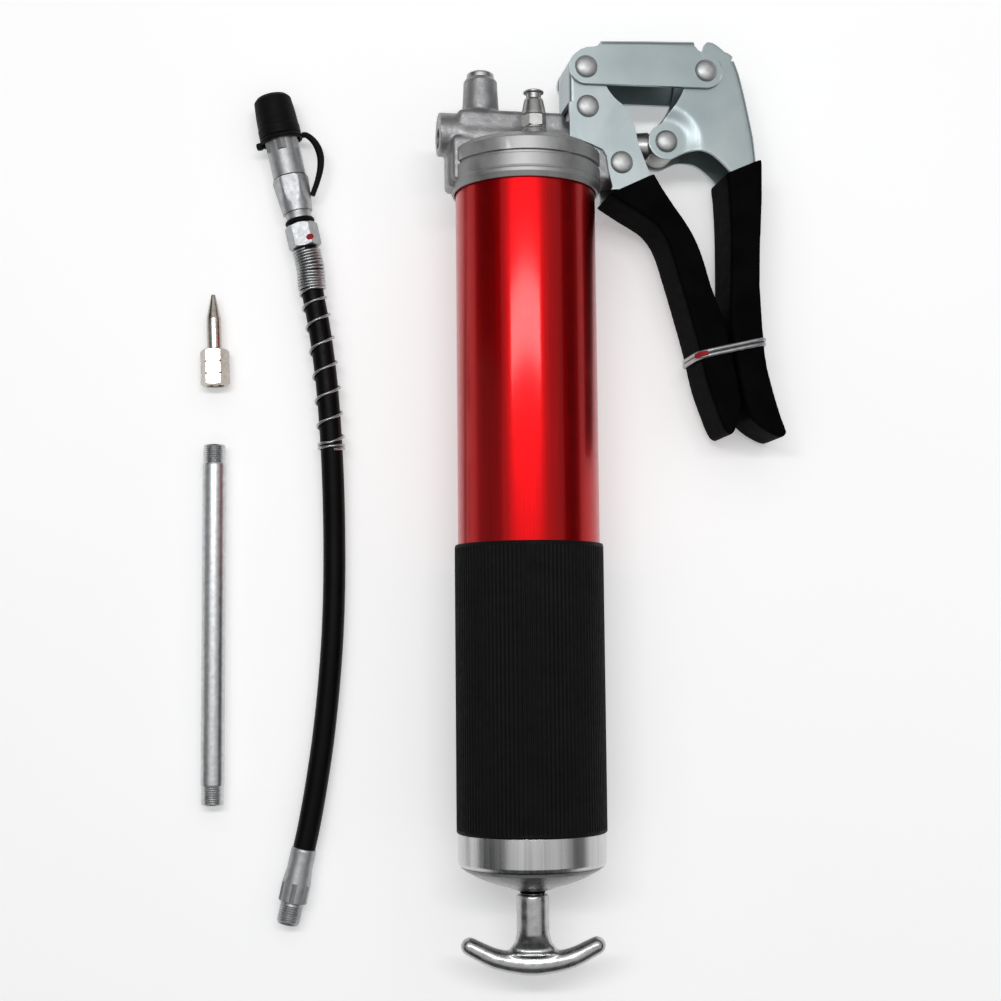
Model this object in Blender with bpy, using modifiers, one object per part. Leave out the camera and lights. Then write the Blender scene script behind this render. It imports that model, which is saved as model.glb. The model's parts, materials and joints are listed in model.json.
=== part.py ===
"""Two-handle grease gun lying on its side, with its flexible hose, an
extension tube and a needle nozzle laid beside it.

The gun is modelled in its own frame, in millimetres: X runs from the barrel
to the handles, Y runs up the barrel to the head (0 at the head's lower rim)
and Z comes out of the plane of the linkage.  The whole gun is then rolled
about its barrel so that both handles rest on the surface.
"""
import math

import bmesh
import bpy
from mathutils import Vector

for old in list(bpy.data.objects):
    bpy.data.objects.remove(old, do_unlink=True)

MM = 0.001
GAP = 0.3

# Gun, overall
ROLL = math.radians(9.8)
AXIS_HEIGHT = 31.0

# Barrel, grip sleeve and end cap
BARREL_R = 28.6
BARREL_WALL = 1.5
BARREL_TOP = 10.0
BARREL_BOTTOM = -268.0
SLEEVE_R = 30.0
SLEEVE_TOP = -143.8
SLEEVE_BOTTOM = -257.7
CAP_R = 29.4
CAP_SHOULDER = -269.8
CAP_BOTTOM = -280.5

# Head casting
COLLAR_R = 30.9
COLLAR_TOP = 17.2
GROOVE_Y = 10.2
PUMP_Y = 22.7
PUMP_BORE_R = 5.05
PORT_X = -36.0
STUB_X = -18.3
STUB_R = 7.3
STUB_TOP = 47.8
BLEEDER_Z = 20.5
INLET_R = 2.5

# Linkage pins in the XY plane
PIN_A = (23.5, 51.5)
PIN_B = (74.3, 52.3)
PIN_C = (57.8, 22.7)
RIVET_D = (24.4, 35.6)
RIVET_E = (38.3, 12.6)
PIN_R = 3.0
HEAD_R = 4.7

# Pressed plates: half widths of the channels
PLATE_OUT = 11.2
PLATE_IN = 9.4
LINK_OUT = 13.3
LINK_IN = 11.5
GRIP_OUT = 12.8
CORE_INSET = 1.8

# Pump plunger
PLUNGER_R = 4.75
PLUNGER_TIP = -9.0
CROSSHEAD_R = 6.6
CROSSHEAD_Z = 7.6

# Follower and its rod
ROD_R = 3.9
ROD_TOP = -7.0
T_TOP = -282.2
T_BAR_R = 4.5

# Hose assembly, extension tube and nozzle
HOSE_R = 4.65
COUPLER_TILT = math.radians(12.6)
COUPLER_START = (-107.36, 50.05)
COUPLER_Z = 9.3
NUT_END = 67.3
TUBE_X = -131.5
TUBE_TOP = -98.6
TUBE_BOTTOM = -248.6
TUBE_R = 4.9
NOZZLE_BASE = (-131.2, -73.6)
NOZZLE_TILT = math.radians(1.8)
NOZZLE_LENGTH = 39.2

PARTS = bpy.data.collections.new("grease_gun")
CUTTERS = bpy.data.collections.new("cutters")
bpy.context.scene.collection.children.link(PARTS)
bpy.context.scene.collection.children.link(CUTTERS)

UPRIGHT = (0.0, 0.0, 0.0)
ALONG_Y = (-math.pi / 2, 0.0, 0.0)
ALONG_X = (0.0, math.pi / 2, 0.0)


def material(name, colour, roughness, metallic):
    mat = bpy.data.materials.new(name)
    mat.use_nodes = True
    shader = mat.node_tree.nodes["Principled BSDF"]
    shader.inputs["Base Color"].default_value = (*colour, 1.0)
    shader.inputs["Roughness"].default_value = roughness
    shader.inputs["Metallic"].default_value = metallic
    mat.diffuse_color = (*colour, 1.0)
    return mat


CAST = material("cast_aluminium", (0.42, 0.42, 0.43), 0.45, 1.0)
ZINC = material("zinc_plate", (0.60, 0.65, 0.68), 0.30, 1.0)
STEEL = material("bright_steel", (0.62, 0.61, 0.60), 0.25, 1.0)
SPRING = material("spring_steel", (0.45, 0.45, 0.46), 0.35, 1.0)
RED = material("red_anodised", (0.55, 0.006, 0.010), 0.25, 0.6)
RUBBER = material("black_rubber", (0.012, 0.012, 0.014), 0.70, 0.0)
VINYL = material("black_vinyl", (0.010, 0.009, 0.011), 0.50, 0.0)
TIE = material("tie_band", (0.65, 0.66, 0.68), 0.35, 0.8)
NICKEL = material("nickel_plate", (0.60, 0.56, 0.50), 0.25, 1.0)


class Frame:
    """An empty, with its origin kept in the frame it was laid out in."""

    def __init__(self, name, parent=None, origin=(0.0, 0.0, 0.0), turn=UPRIGHT):
        self.origin = Vector(origin)
        self.empty = bpy.data.objects.new(name, None)
        self.empty.empty_display_size = 0.01
        bpy.context.scene.collection.objects.link(self.empty)
        offset = Vector(origin)
        if parent is not None:
            self.empty.parent = parent.empty
            offset = offset - parent.origin
        self.empty.location = offset * MM
        self.empty.rotation_euler = turn
        if turn != UPRIGHT:
            self.origin = Vector((0.0, 0.0, 0.0))


def place(obj, frame, mat, at=(0.0, 0.0, 0.0), turn=UPRIGHT):
    for coll in list(obj.users_collection):
        coll.objects.unlink(obj)
    PARTS.objects.link(obj)
    obj.parent = frame.empty
    obj.location = (Vector(at) - frame.origin) * MM
    obj.rotation_euler = turn
    if mat is not None:
        obj.data.materials.clear()
        obj.data.materials.append(mat)
    return obj


def as_cutter(obj):
    for coll in list(obj.users_collection):
        coll.objects.unlink(obj)
    CUTTERS.objects.link(obj)
    obj.hide_render = True
    obj.display_type = "WIRE"
    return obj


def mesh_object(name, bm):
    mesh = bpy.data.meshes.new(name)
    bm.to_mesh(mesh)
    bm.free()
    obj = bpy.data.objects.new(name, mesh)
    PARTS.objects.link(obj)
    return obj


def turned(name, profile, steps=32):
    """Lathe a (radius, height) profile about Z; it runs down the outer side."""
    bm = bmesh.new()
    verts = [bm.verts.new((r * MM, 0.0, h * MM)) for r, h in profile]
    for first, second in zip(verts, verts[1:]):
        bm.edges.new((first, second))
    if profile[0][0] > 0.0:
        bm.edges.new((verts[-1], verts[0]))
    obj = mesh_object(name, bm)
    screw = obj.modifiers.new("Screw", "SCREW")
    screw.axis = "Z"
    screw.angle = 2.0 * math.pi
    screw.steps = steps
    screw.render_steps = steps
    screw.use_merge_vertices = True
    screw.merge_threshold = 0.00001
    screw.use_smooth_shade = True
    return obj


def bar(name, radius, low, high, sides=24, end_radius=None):
    """A solid cylinder, cone or hexagon along Z."""
    bm = bmesh.new()
    top = radius if end_radius is None else end_radius
    bmesh.ops.create_cone(bm, cap_ends=True, segments=sides, radius1=radius * MM,
                          radius2=top * MM, depth=(high - low) * MM)
    bmesh.ops.translate(bm, verts=bm.verts, vec=(0.0, 0.0, 0.5 * (low + high) * MM))
    return mesh_object(name, bm)


def block(name, low, high):
    bm = bmesh.new()
    bmesh.ops.create_cube(bm, size=1.0)
    low = Vector(low) * MM
    high = Vector(high) * MM
    bmesh.ops.scale(bm, verts=bm.verts, vec=high - low)
    bmesh.ops.translate(bm, verts=bm.verts, vec=0.5 * (low + high))
    return mesh_object(name, bm)


def from_curve(obj):
    """Turn a curve object into a closed mesh object of the same name."""
    bpy.context.view_layer.update()
    graph = bpy.context.evaluated_depsgraph_get()
    mesh = bpy.data.meshes.new_from_object(obj.evaluated_get(graph))
    bm = bmesh.new()
    bm.from_mesh(mesh)
    bmesh.ops.remove_doubles(bm, verts=bm.verts, dist=0.000001)
    bmesh.ops.recalc_face_normals(bm, faces=bm.faces)
    name = obj.name
    bpy.data.objects.remove(obj, do_unlink=True)
    bpy.data.meshes.remove(mesh)
    return mesh_object(name, bm)


def prism(name, outline, half_depth):
    """A flat outline in XY, filled and extruded both ways along Z."""
    curve = bpy.data.curves.new(name, "CURVE")
    curve.dimensions = "2D"
    curve.fill_mode = "BOTH"
    curve.extrude = half_depth * MM
    spline = curve.splines.new("POLY")
    spline.points.add(len(outline) - 1)
    for point, (x, y) in zip(spline.points, outline):
        point.co = (x * MM, y * MM, 0.0, 1.0)
    spline.use_cyclic_u = True
    obj = bpy.data.objects.new(name, curve)
    PARTS.objects.link(obj)
    return from_curve(obj)


def wire(name, points, radius, resolution=2, cyclic=False, scales=None):
    curve = bpy.data.curves.new(name, "CURVE")
    curve.dimensions = "3D"
    curve.bevel_depth = radius * MM
    curve.bevel_resolution = resolution
    curve.use_fill_caps = not cyclic
    spline = curve.splines.new("POLY")
    spline.points.add(len(points) - 1)
    for index, point in enumerate(points):
        spline.points[index].co = (*(Vector(point) * MM), 1.0)
        if scales is not None:
            spline.points[index].radius = scales[index]
    spline.use_cyclic_u = cyclic
    obj = bpy.data.objects.new(name, curve)
    PARTS.objects.link(obj)
    return obj


def combine(obj, other, operation="DIFFERENCE", at=(0.0, 0.0, 0.0), turn=UPRIGHT):
    """Cut other from obj, or join it; other is placed in obj's own frame."""
    as_cutter(other)
    other.parent = obj
    other.location = Vector(at) * MM
    other.rotation_euler = turn
    mod = obj.modifiers.new(other.name, "BOOLEAN")
    mod.operation = operation
    mod.solver = "EXACT"
    mod.object = other
    return obj


def rounded(obj, width, segments=2, angle=50.0):
    mod = obj.modifiers.new("Bevel", "BEVEL")
    mod.width = width * MM
    mod.segments = segments
    mod.limit_method = "ANGLE"
    mod.angle_limit = math.radians(angle)
    return obj


def arc(centre, radius, start, end, count):
    step = (end - start) / (count - 1)
    angles = [math.radians(start + step * i) for i in range(count)]
    return [(centre[0] + radius * math.cos(a), centre[1] + radius * math.sin(a))
            for a in angles]


def smooth(points, cuts):
    """Catmull-Rom curve through the points, with cuts pieces to each span."""
    points = [Vector(p) for p in points]
    ends = [points[0] * 2 - points[1]] + points + [points[-1] * 2 - points[-2]]
    out = []
    for a, b, c, d in zip(ends, ends[1:], ends[2:], ends[3:]):
        for i in range(cuts):
            t = i / cuts
            out.append(0.5 * (2 * b + (c - a) * t + (2 * a - 5 * b + 4 * c - d) * t * t
                              + (3 * b - a - 3 * c + d) * t * t * t))
    out.append(points[-1])
    return [tuple(p) for p in out]


def beside(points, distance):
    """An open line moved to its left by distance."""
    out = []
    for i, p in enumerate(points):
        before = Vector(points[max(i - 1, 0)])
        after = Vector(points[min(i + 1, len(points) - 1)])
        run = (after - before).normalized()
        out.append((p[0] - run.y * distance, p[1] + run.x * distance))
    return out


def dome_rivet(name, grip_half, shank=PIN_R, head=HEAD_R, height=2.2):
    """A round-headed rivet along Z that grips plates from -grip_half to grip_half."""
    face = grip_half + GAP
    crown = face + height
    profile = [(0.0, crown), (0.62 * head, crown - 0.24 * height), (head, face + 0.2), (head, face)]
    profile += [(shank, face), (shank, -face), (head, -face), (head, -face - 0.2)]
    profile += [(0.62 * head, -crown + 0.24 * height), (0.0, -crown)]
    return turned(name, profile, 12)


def helix(radius, pitch_line, per_turn, start=0.0):
    """Coil points about Z; pitch_line is a list of heights, one to a turn."""
    points = []
    for turn, (low, high) in enumerate(zip(pitch_line, pitch_line[1:])):
        for i in range(per_turn):
            angle = start + 2.0 * math.pi * i / per_turn
            height = low + (high - low) * i / per_turn
            points.append((radius * math.cos(angle), radius * math.sin(angle), height))
    points.append((radius * math.cos(start), radius * math.sin(start), pitch_line[-1]))
    return points


# Frames
ROOT = Frame("assembly")
GUN = Frame("gun_frame", ROOT, (0.0, 0.0, AXIS_HEIGHT), (0.0, ROLL, 0.0))
LINK = Frame("link_pivot", GUN, (*PIN_A, 0.0))
LEVER = Frame("lever_pivot", LINK, (*PIN_B, 0.0))
PLUNGER = Frame("plunger_line", GUN, (*PIN_C, 0.0))
FOLLOWER = Frame("follower_line", GUN, (0.0, ROD_TOP, 0.0))
ROD = Frame("rod_line", FOLLOWER, (0.0, T_TOP, 0.0))
BLEEDER = Frame("bleeder_line", GUN, (0.0, 38.0, BLEEDER_Z))

# ---------------------------------------------------------------- head casting
collar = [(0.0, 20.4), (22.0, 20.0), (27.0, 18.8), (29.6, COLLAR_TOP), (COLLAR_R, COLLAR_TOP - 1.2)]
collar += [(COLLAR_R, GROOVE_Y + 0.5), (COLLAR_R - 1.0, GROOVE_Y + 0.2)]
collar += [(COLLAR_R - 1.0, GROOVE_Y - 0.2), (COLLAR_R, GROOVE_Y - 0.5), (COLLAR_R, 1.8)]
collar += [(COLLAR_R - 0.8, 0.0), (0.0, 0.0)]
head = place(turned("head_casting", collar, 32), GUN, CAST, turn=ALONG_Y)


def on_head(other, operation, at=(0.0, 0.0, 0.0), turn=UPRIGHT):
    """Work on the head in gun coordinates, undoing the head's own turn."""
    as_cutter(other)
    other.parent = GUN.empty
    other.location = Vector(at) * MM
    other.rotation_euler = turn
    mod = head.modifiers.new(other.name, "BOOLEAN")
    mod.operation = operation
    mod.solver = "EXACT"
    mod.object = other


on_head(bar("pump_body", 9.1, -27.0, 41.0, 20), "UNION", (0.0, PUMP_Y, 0.0), ALONG_X)
gallery = rounded(block("gallery_block", (-29.0, 13.0, -8.6), (15.8, 33.4, 8.6)), 3.0, 1)
on_head(gallery, "UNION")
on_head(bar("side_port_boss", 8.9, PORT_X, -20.0, 20), "UNION", (0.0, 24.4, 0.0), ALONG_X)
web = rounded(block("side_rib", (-32.6, 2.0, -4.5), (-24.0, 20.0, 4.5)), 1.5, 1)
on_head(web, "UNION")
stub = turned("outlet_stub", [(0.0, STUB_TOP), (STUB_R - 1.2, STUB_TOP), (STUB_R, STUB_TOP - 1.4),
                              (STUB_R, 24.0), (0.0, 24.0)], 18)
on_head(stub, "UNION", (STUB_X, 0.0, 0.0), ALONG_Y)
upper_lug = rounded(block("upper_lug", (18.9, 22.0, -9.1), (31.0, 41.6, 9.1)), 1.4, 1)
on_head(upper_lug, "UNION")
lower_lug = rounded(block("lower_lug", (26.0, 6.6, -9.1), (43.6, 22.0, 9.1)), 1.6, 1)
on_head(lower_lug, "UNION")
boss = bar("bleeder_boss", 5.6, 14.0, 21.6, 20, 5.0)
on_head(boss, "UNION", (0.0, 0.0, BLEEDER_Z), ALONG_Y)
on_head(bar("barrel_socket", BARREL_R + GAP, -2.0, 12.0, 30), "DIFFERENCE", turn=ALONG_Y)
on_head(bar("pump_bore", PUMP_BORE_R, -14.0, 50.0, 16), "DIFFERENCE", (0.0, PUMP_Y, 0.0), ALONG_X)
on_head(bar("packing_bore", 7.0, 32.0, 50.0, 16), "DIFFERENCE", (0.0, PUMP_Y, 0.0), ALONG_X)
on_head(bar("outlet_gallery", 2.2, -30.0, -12.0, 12), "DIFFERENCE", (0.0, PUMP_Y, 0.0), ALONG_X)
on_head(bar("side_port", 4.2, -40.0, -26.0, 16), "DIFFERENCE", (0.0, PUMP_Y, 0.0), ALONG_X)
on_head(bar("valve_seat_bore", 2.1, PUMP_Y, 36.0, 12), "DIFFERENCE", (STUB_X, 0.0, 0.0), ALONG_Y)
on_head(bar("valve_chamber", 4.3, 32.0, 50.0, 16), "DIFFERENCE", (STUB_X, 0.0, 0.0), ALONG_Y)
on_head(bar("inlet_bore", INLET_R, 8.0, PUMP_Y, 12), "DIFFERENCE", (0.0, 0.0, 0.0), ALONG_Y)
on_head(bar("bleeder_bore", 2.4, 8.0, 24.0, 12), "DIFFERENCE", (0.0, 0.0, BLEEDER_Z), ALONG_Y)
on_head(bar("upper_rivet_bore", PIN_R + GAP, -12.0, 12.0, 12), "DIFFERENCE", (*RIVET_D, 0.0))
on_head(bar("lower_rivet_bore", PIN_R + GAP, -12.0, 12.0, 12), "DIFFERENCE", (*RIVET_E, 0.0))

gasket = turned("barrel_gasket", [(28.4, 11.7), (28.4, 10.3), (25.6, 10.3), (25.6, 11.7)], 24)
place(gasket, GUN, RUBBER, turn=ALONG_Y)

# ------------------------------------------------------- outlet and check valve
adapter = turned("outlet_adapter", [(5.2, 51.5), (5.8, 50.6), (5.8, 48.1), (4.0, 48.1), (4.0, 43.0),
                                    (1.6, 43.0), (1.6, 44.4), (3.2, 44.6), (3.2, 51.5)], 18)
place(adapter, GUN, STEEL, (STUB_X, 0.0, 0.0), ALONG_Y)
bm = bmesh.new()
bmesh.ops.create_uvsphere(bm, u_segments=14, v_segments=8, radius=3.0 * MM)
ball = place(mesh_object("check_ball", bm), GUN, STEEL, (STUB_X, 34.6, 0.0))
for poly in ball.data.polygons:
    poly.use_smooth = True
coil = helix(2.4, [38.3, 39.6, 41.1, 42.4], 7)
place(wire("check_spring", coil, 0.35), GUN, SPRING, (STUB_X, 0.0, 0.0), ALONG_Y)

# ------------------------------------------------------------- air bleed valve
bleeder = turned("bleeder_body", [(3.1, 34.2), (3.9, 33.4), (4.9, 27.0), (4.9, 21.9),
                                  (2.1, 21.9), (2.1, 14.0), (0.9, 14.0), (0.9, 34.2)], 14)
hexagon = bar("bleeder_hexagon", 4.6, 22.2, 26.0, 6)
place(combine(bleeder, hexagon, "UNION"), GUN, STEEL, (0.0, 0.0, BLEEDER_Z), ALONG_Y)
bore = bar("bleeder_body_bore", 1.3, 10.0, 40.0, 12)
combine(bleeder, bore)
knob = turned("bleeder_knob", [(0.0, 38.2), (3.5, 38.2), (4.1, 37.6), (4.1, 36.6), (3.2, 36.3),
                               (2.4, 36.1), (2.4, 35.9), (1.0, 35.8), (1.0, 18.0), (0.0, 18.0)], 14)
place(knob, BLEEDER, STEEL, (0.0, 0.0, BLEEDER_Z), ALONG_Y)

# ------------------------------------------------------ bracket and fixed handle
fixed_left = [(32.6, -0.8), (40.7, -5.9), (50.5, -11.7), (54.8, -16.4), (57.4, -21.6),
              (59.9, -29.5), (64.8, -46.8), (69.1, -63.0), (72.5, -78.4), (77.2, -92.1)]
fixed_right = [(51.8, 8.4), (54.2, 3.8), (59.3, -4.0), (64.8, -11.8), (68.8, -18.9), (71.9, -26.9),
               (75.3, -38.8), (80.2, -52.2), (83.7, -68.1), (87.1, -86.3)]
fixed_tip = [(79.6, -97.0), (81.8, -98.6), (84.0, -97.0)]
left_line = smooth(fixed_left, 2)
right_line = smooth(fixed_right, 2)
core_left = beside(left_line, CORE_INSET)
core_right = beside(right_line, -CORE_INSET)
core_tip = [(80.6, -94.6), (82.6, -95.0)]
bracket_left = [(34.5, 2.2), (32.9, 8.7), (32.1, 15.0), (30.6, 17.8), (28.6, 18.6), (25.8, 19.8),
                (21.7, 21.3), (16.8, 21.9)]
bracket_right = [(30.4, 50.2), (32.4, 44.3), (35.6, 39.8), (39.2, 36.8), (41.9, 33.3), (44.0, 28.3),
                 (45.7, 20.2), (49.5, 10.0)]
bracket_top = arc(PIN_A, 7.0, 165.0, 10.0, 8)
outline = [(16.8, 50.0)] + bracket_top + bracket_right + core_right[1:] + core_tip[::-1]
outline += core_left[::-1][:-1] + bracket_left
bracket = prism("handle_bracket", outline, PLATE_OUT)
place(bracket, GUN, ZINC)
# The inside of the pressing: open to the right, with a web along the handle's
# left edge and another behind the upper pin.
inner_web = beside(core_left, 1.9)
hollow = [(47.0, -7.6), (30.0, 4.5), (10.0, 4.5), (10.0, 36.5), (18.7, 36.5), (18.7, 70.0)]
hollow += [(60.0, 70.0), (60.0, 12.0), (100.0, -40.0), (100.0, -90.0), (84.0, -92.0), (80.0, -91.0)]
hollow += [p for p in inner_web[::-1] if p[1] < -9.0]
combine(bracket, prism("bracket_hollow", hollow, PLATE_IN))
for label, spot in (("bracket_hole_a", PIN_A), ("bracket_hole_d", RIVET_D), ("bracket_hole_e", RIVET_E)):
    combine(bracket, bar(label, PIN_R + GAP, -14.0, 14.0, 14), at=(*spot, 0.0))

place(dome_rivet("bracket_rivet_upper", PLATE_OUT), GUN, STEEL, (*RIVET_D, 0.0))
place(dome_rivet("bracket_rivet_lower", PLATE_OUT), GUN, STEEL, (*RIVET_E, 0.0))

grip_line = left_line + fixed_tip + right_line[::-1]
fixed_grip = rounded(prism("fixed_handle_grip", grip_line, GRIP_OUT), 2.2, 2)
place(fixed_grip, GUN, VINYL)
room_left = beside(left_line, CORE_INSET - GAP)
room_right = beside(right_line, GAP - CORE_INSET)
room = [(30.6, 7.4)] + room_left + [(80.1, -95.4), (83.1, -95.8)] + room_right[::-1] + [(53.0, 16.0)]
combine(fixed_grip, prism("fixed_grip_room", room, PLATE_OUT + GAP))

# ---------------------------------------------------------------------- top link
ax, ay = PIN_A
bx, by = PIN_B
slope = (by - ay) / (bx - ax)
web_from = ax + 6.7
web_to = bx - 5.4
link_line = arc(PIN_A, 7.0, 125.0, 270.0, 9) + arc(PIN_B, 7.2, 270.0, 440.0, 11)
link_line += [(bx - 2.4, by + 8.2), (bx - 4.4, by + 9.0), (web_to, by + 12.7), (web_from, ay + 11.8)]
link_line += [(ax + 5.4, ay + 9.2), (ax + 1.2, ay + 8.4)]
top_link = rounded(prism("top_link", link_line, LINK_OUT), 1.2, 1, 60.0)
place(top_link, LINK, ZINC)
web_low = 10.0
hollow = [(0.0, 30.0), (100.0, 30.0), (100.0, by + web_low + 0.8), (web_to, by + web_low + 0.8)]
hollow += [(web_from, ay + web_low), (0.0, ay + web_low)]
combine(top_link, prism("link_hollow", hollow, LINK_IN))
combine(top_link, block("link_left_end", (0.0, ay, -LINK_IN), (web_from, 80.0, LINK_IN)))
combine(top_link, block("link_right_end", (web_to, by, -LINK_IN), (110.0, 80.0, LINK_IN)))
combine(top_link, bar("link_hole_a", PIN_R + GAP, -16.0, 16.0, 16), at=(*PIN_A, 0.0))
combine(top_link, bar("link_hole_b", PIN_R + GAP, -16.0, 16.0, 16), at=(*PIN_B, 0.0))
place(dome_rivet("link_rivet", LINK_OUT), GUN, STEEL, (*PIN_A, 0.0))

# ------------------------------------------------------------------ pumping lever
lever_right = [(98.2, 16.6), (97.6, -3.4), (96.6, -19.7), (96.0, -35.8), (96.4, -47.9), (97.6, -67.1),
               (100.2, -79.7), (103.6, -91.7)]
lever_left = [(82.6, 9.8), (83.3, 4.0), (83.9, -10.0), (83.8, -26.0), (83.5, -38.0), (82.9, -46.0),
              (83.2, -56.0), (84.9, -68.1), (88.3, -86.3)]
lever_tip = [(105.9, -98.4), (102.6, -100.2), (97.6, -98.0), (91.4, -93.4)]
out_line = smooth(lever_right, 2)
in_line = smooth(lever_left, 2)
core_out = beside(out_line, -CORE_INSET)
core_in = beside(in_line, CORE_INSET)
plate_right = [(78.6, 64.6), (81.2, 63.1), (83.0, 61.6), (85.0, 60.8), (86.6, 59.5), (87.9, 57.4),
               (89.6, 52.4), (91.5, 44.5), (93.4, 35.0), (95.2, 25.3)]
plate_left = [(84.6, 10.8), (81.0, 14.5), (77.0, 17.7), (72.9, 19.2), (67.5, 19.0), (62.4, 16.7)]
plate_left += arc(PIN_C, 7.5, 285.0, 130.0, 9)
plate_left += [(55.9, 30.4), (59.0, 34.5), (62.5, 39.4), (65.0, 44.2), (66.4, 50.0)]
plate_left += arc(PIN_B, 7.5, 165.0, 100.0, 5)
plate_left += [(74.4, 61.4), (75.3, 64.4), (76.8, 65.3)]
outline = plate_right + core_out + [(101.5, -94.5), (98.0, -95.4), (93.0, -91.8)]
outline += core_in[::-1] + plate_left
lever = prism("lever_channel", outline, PLATE_OUT)
place(lever, LEVER, ZINC)
web_line = beside(plate_right + core_out, -1.9)
hollow = [(88.0, 80.0)] + web_line[4:-1] + [(98.0, -91.5), (92.0, -88.6), (70.0, -88.0), (30.0, 10.0)]
hollow += [(30.0, 80.0)]
combine(lever, prism("lever_hollow", hollow, PLATE_IN))
combine(lever, bar("lever_hole_b", PIN_R + GAP, -14.0, 14.0, 16), at=(*PIN_B, 0.0))
combine(lever, bar("lever_hole_c", PIN_R + GAP, -14.0, 14.0, 16), at=(*PIN_C, 0.0))

grip_line = in_line + lever_tip[::-1] + out_line[::-1]
lever_grip = rounded(prism("lever_grip", grip_line, GRIP_OUT), 2.2, 2)
place(lever_grip, LEVER, VINYL)
room = [(82.6, 18.0)] + beside(in_line, CORE_INSET - GAP)
room += [(92.9, -92.1), (98.0, -95.8), (101.8, -94.9)]
room += beside(out_line, GAP - CORE_INSET)[::-1] + [(98.5, 24.0)]
combine(lever_grip, prism("lever_grip_room", room, PLATE_OUT + GAP))
place(dome_rivet("lever_link_rivet", LINK_OUT), LEVER, STEEL, (*PIN_B, 0.0))
place(dome_rivet("lever_plunger_rivet", PLATE_OUT), LEVER, STEEL, (*PIN_C, 0.0))

# ------------------------------------------------------------------ pump plunger
plunger = turned("pump_plunger", [(0.0, PIN_C[0]), (PLUNGER_R, PIN_C[0]), (PLUNGER_R, PLUNGER_TIP + 1.0),
                                  (PLUNGER_R - 1.0, PLUNGER_TIP), (0.0, PLUNGER_TIP)], 18)
place(plunger, PLUNGER, STEEL, (0.0, PUMP_Y, 0.0), ALONG_X)
eye = bar("crosshead_eye", CROSSHEAD_R, -CROSSHEAD_Z, CROSSHEAD_Z, 28)
combine(plunger, eye, "UNION", (0.0, 0.0, PIN_C[0]), (math.pi / 2, 0.0, math.pi / 2))
slot = prism("crosshead_slot", [(-3.7, -1.0)] + arc((0.0, -1.0), 3.7, 200.0, 340.0, 7) + [(3.7, -1.0)]
             + [(3.7, 1.0)] + arc((0.0, 1.0), 3.7, 20.0, 160.0, 7) + [(-3.7, 1.0)], 12.0)
combine(plunger, slot, at=(0.0, 0.0, PIN_C[0]), turn=(math.pi / 2, 0.0, math.pi / 2))
packing = turned("plunger_packing", [(6.7, 36.6), (6.7, 32.4), (PLUNGER_R + GAP, 32.4),
                                     (PLUNGER_R + GAP, 36.6)], 18)
place(packing, GUN, RUBBER, (0.0, PUMP_Y, 0.0), ALONG_X)
gland = turned("packing_gland", [(6.7, 42.4), (6.7, 37.0), (PLUNGER_R + GAP, 37.0),
                                 (PLUNGER_R + GAP, 42.4)], 18)
place(gland, GUN, STEEL, (0.0, PUMP_Y, 0.0), ALONG_X)

# --------------------------------------------------- barrel, sleeve and end cap
inner = BARREL_R - BARREL_WALL
barrel = turned("barrel_tube", [(BARREL_R, BARREL_TOP), (BARREL_R, BARREL_BOTTOM), (inner, BARREL_BOTTOM),
                                (inner, BARREL_TOP)], 36)
place(barrel, GUN, RED, turn=ALONG_Y)
sleeve = turned("barrel_grip_sleeve", [(SLEEVE_R - 0.4, SLEEVE_TOP), (SLEEVE_R, SLEEVE_TOP - 0.6),
                                       (SLEEVE_R, SLEEVE_BOTTOM), (BARREL_R + GAP, SLEEVE_BOTTOM),
                                       (BARREL_R + GAP, SLEEVE_TOP)], 32)
place(sleeve, GUN, RUBBER, turn=ALONG_Y)
top = SLEEVE_BOTTOM - 0.4
end_cap = turned("end_cap", [(CAP_R, top), (CAP_R, CAP_SHOULDER), (28.4, -271.4), (26.6, -272.8),
                             (21.1, -275.7), (15.5, -277.8), (9.9, -279.4), (7.4, CAP_BOTTOM),
                             (5.3, CAP_BOTTOM), (5.3, -278.4), (15.0, -276.2), (25.4, -271.6),
                             (27.0, -268.4), (BARREL_R + GAP, -268.4), (BARREL_R + GAP, top)], 28)
place(end_cap, GUN, CAST, turn=ALONG_Y)
bushing = turned("rod_bushing", [(5.0, -276.6), (5.0, T_TOP + GAP), (ROD_R + GAP, T_TOP + GAP),
                                 (ROD_R + GAP, -276.6)], 18)
place(bushing, GUN, VINYL, turn=ALONG_Y)

# ------------------------------------------------------------ follower and rod
rod = turned("follower_rod", [(0.0, ROD_TOP), (ROD_R, ROD_TOP), (ROD_R, -300.0), (0.0, -300.0)], 16)
place(rod, ROD, STEEL, turn=ALONG_Y)
cup = turned("follower_cup", [(24.6, -8.6), (26.6, -7.8), (26.8, -20.0), (25.4, -20.0), (24.2, -11.4),
                              (ROD_R + GAP, -11.4), (ROD_R + GAP, -9.4), (23.0, -9.4)], 24)
place(cup, FOLLOWER, RUBBER, turn=ALONG_Y)
plate = turned("follower_plate", [(23.4, -11.8), (23.4, -13.2), (ROD_R + GAP, -13.2),
                                  (ROD_R + GAP, -11.8)], 20)
place(plate, FOLLOWER, ZINC, turn=ALONG_Y)
nut = bar("follower_nut", 7.0, -18.0, -13.6, 6)
combine(nut, bar("follower_nut_bore", ROD_R + GAP, -20.0, -10.0, 16))
place(nut, FOLLOWER, STEEL, turn=ALONG_Y)
levels = [-19.6, -22.0] + [-22.0 - 30.8 * (i + 1) for i in range(8)] + [-270.4]
place(wire("follower_spring", helix(19.5, levels, 8), 1.1), GUN, SPRING, turn=ALONG_Y)

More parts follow.
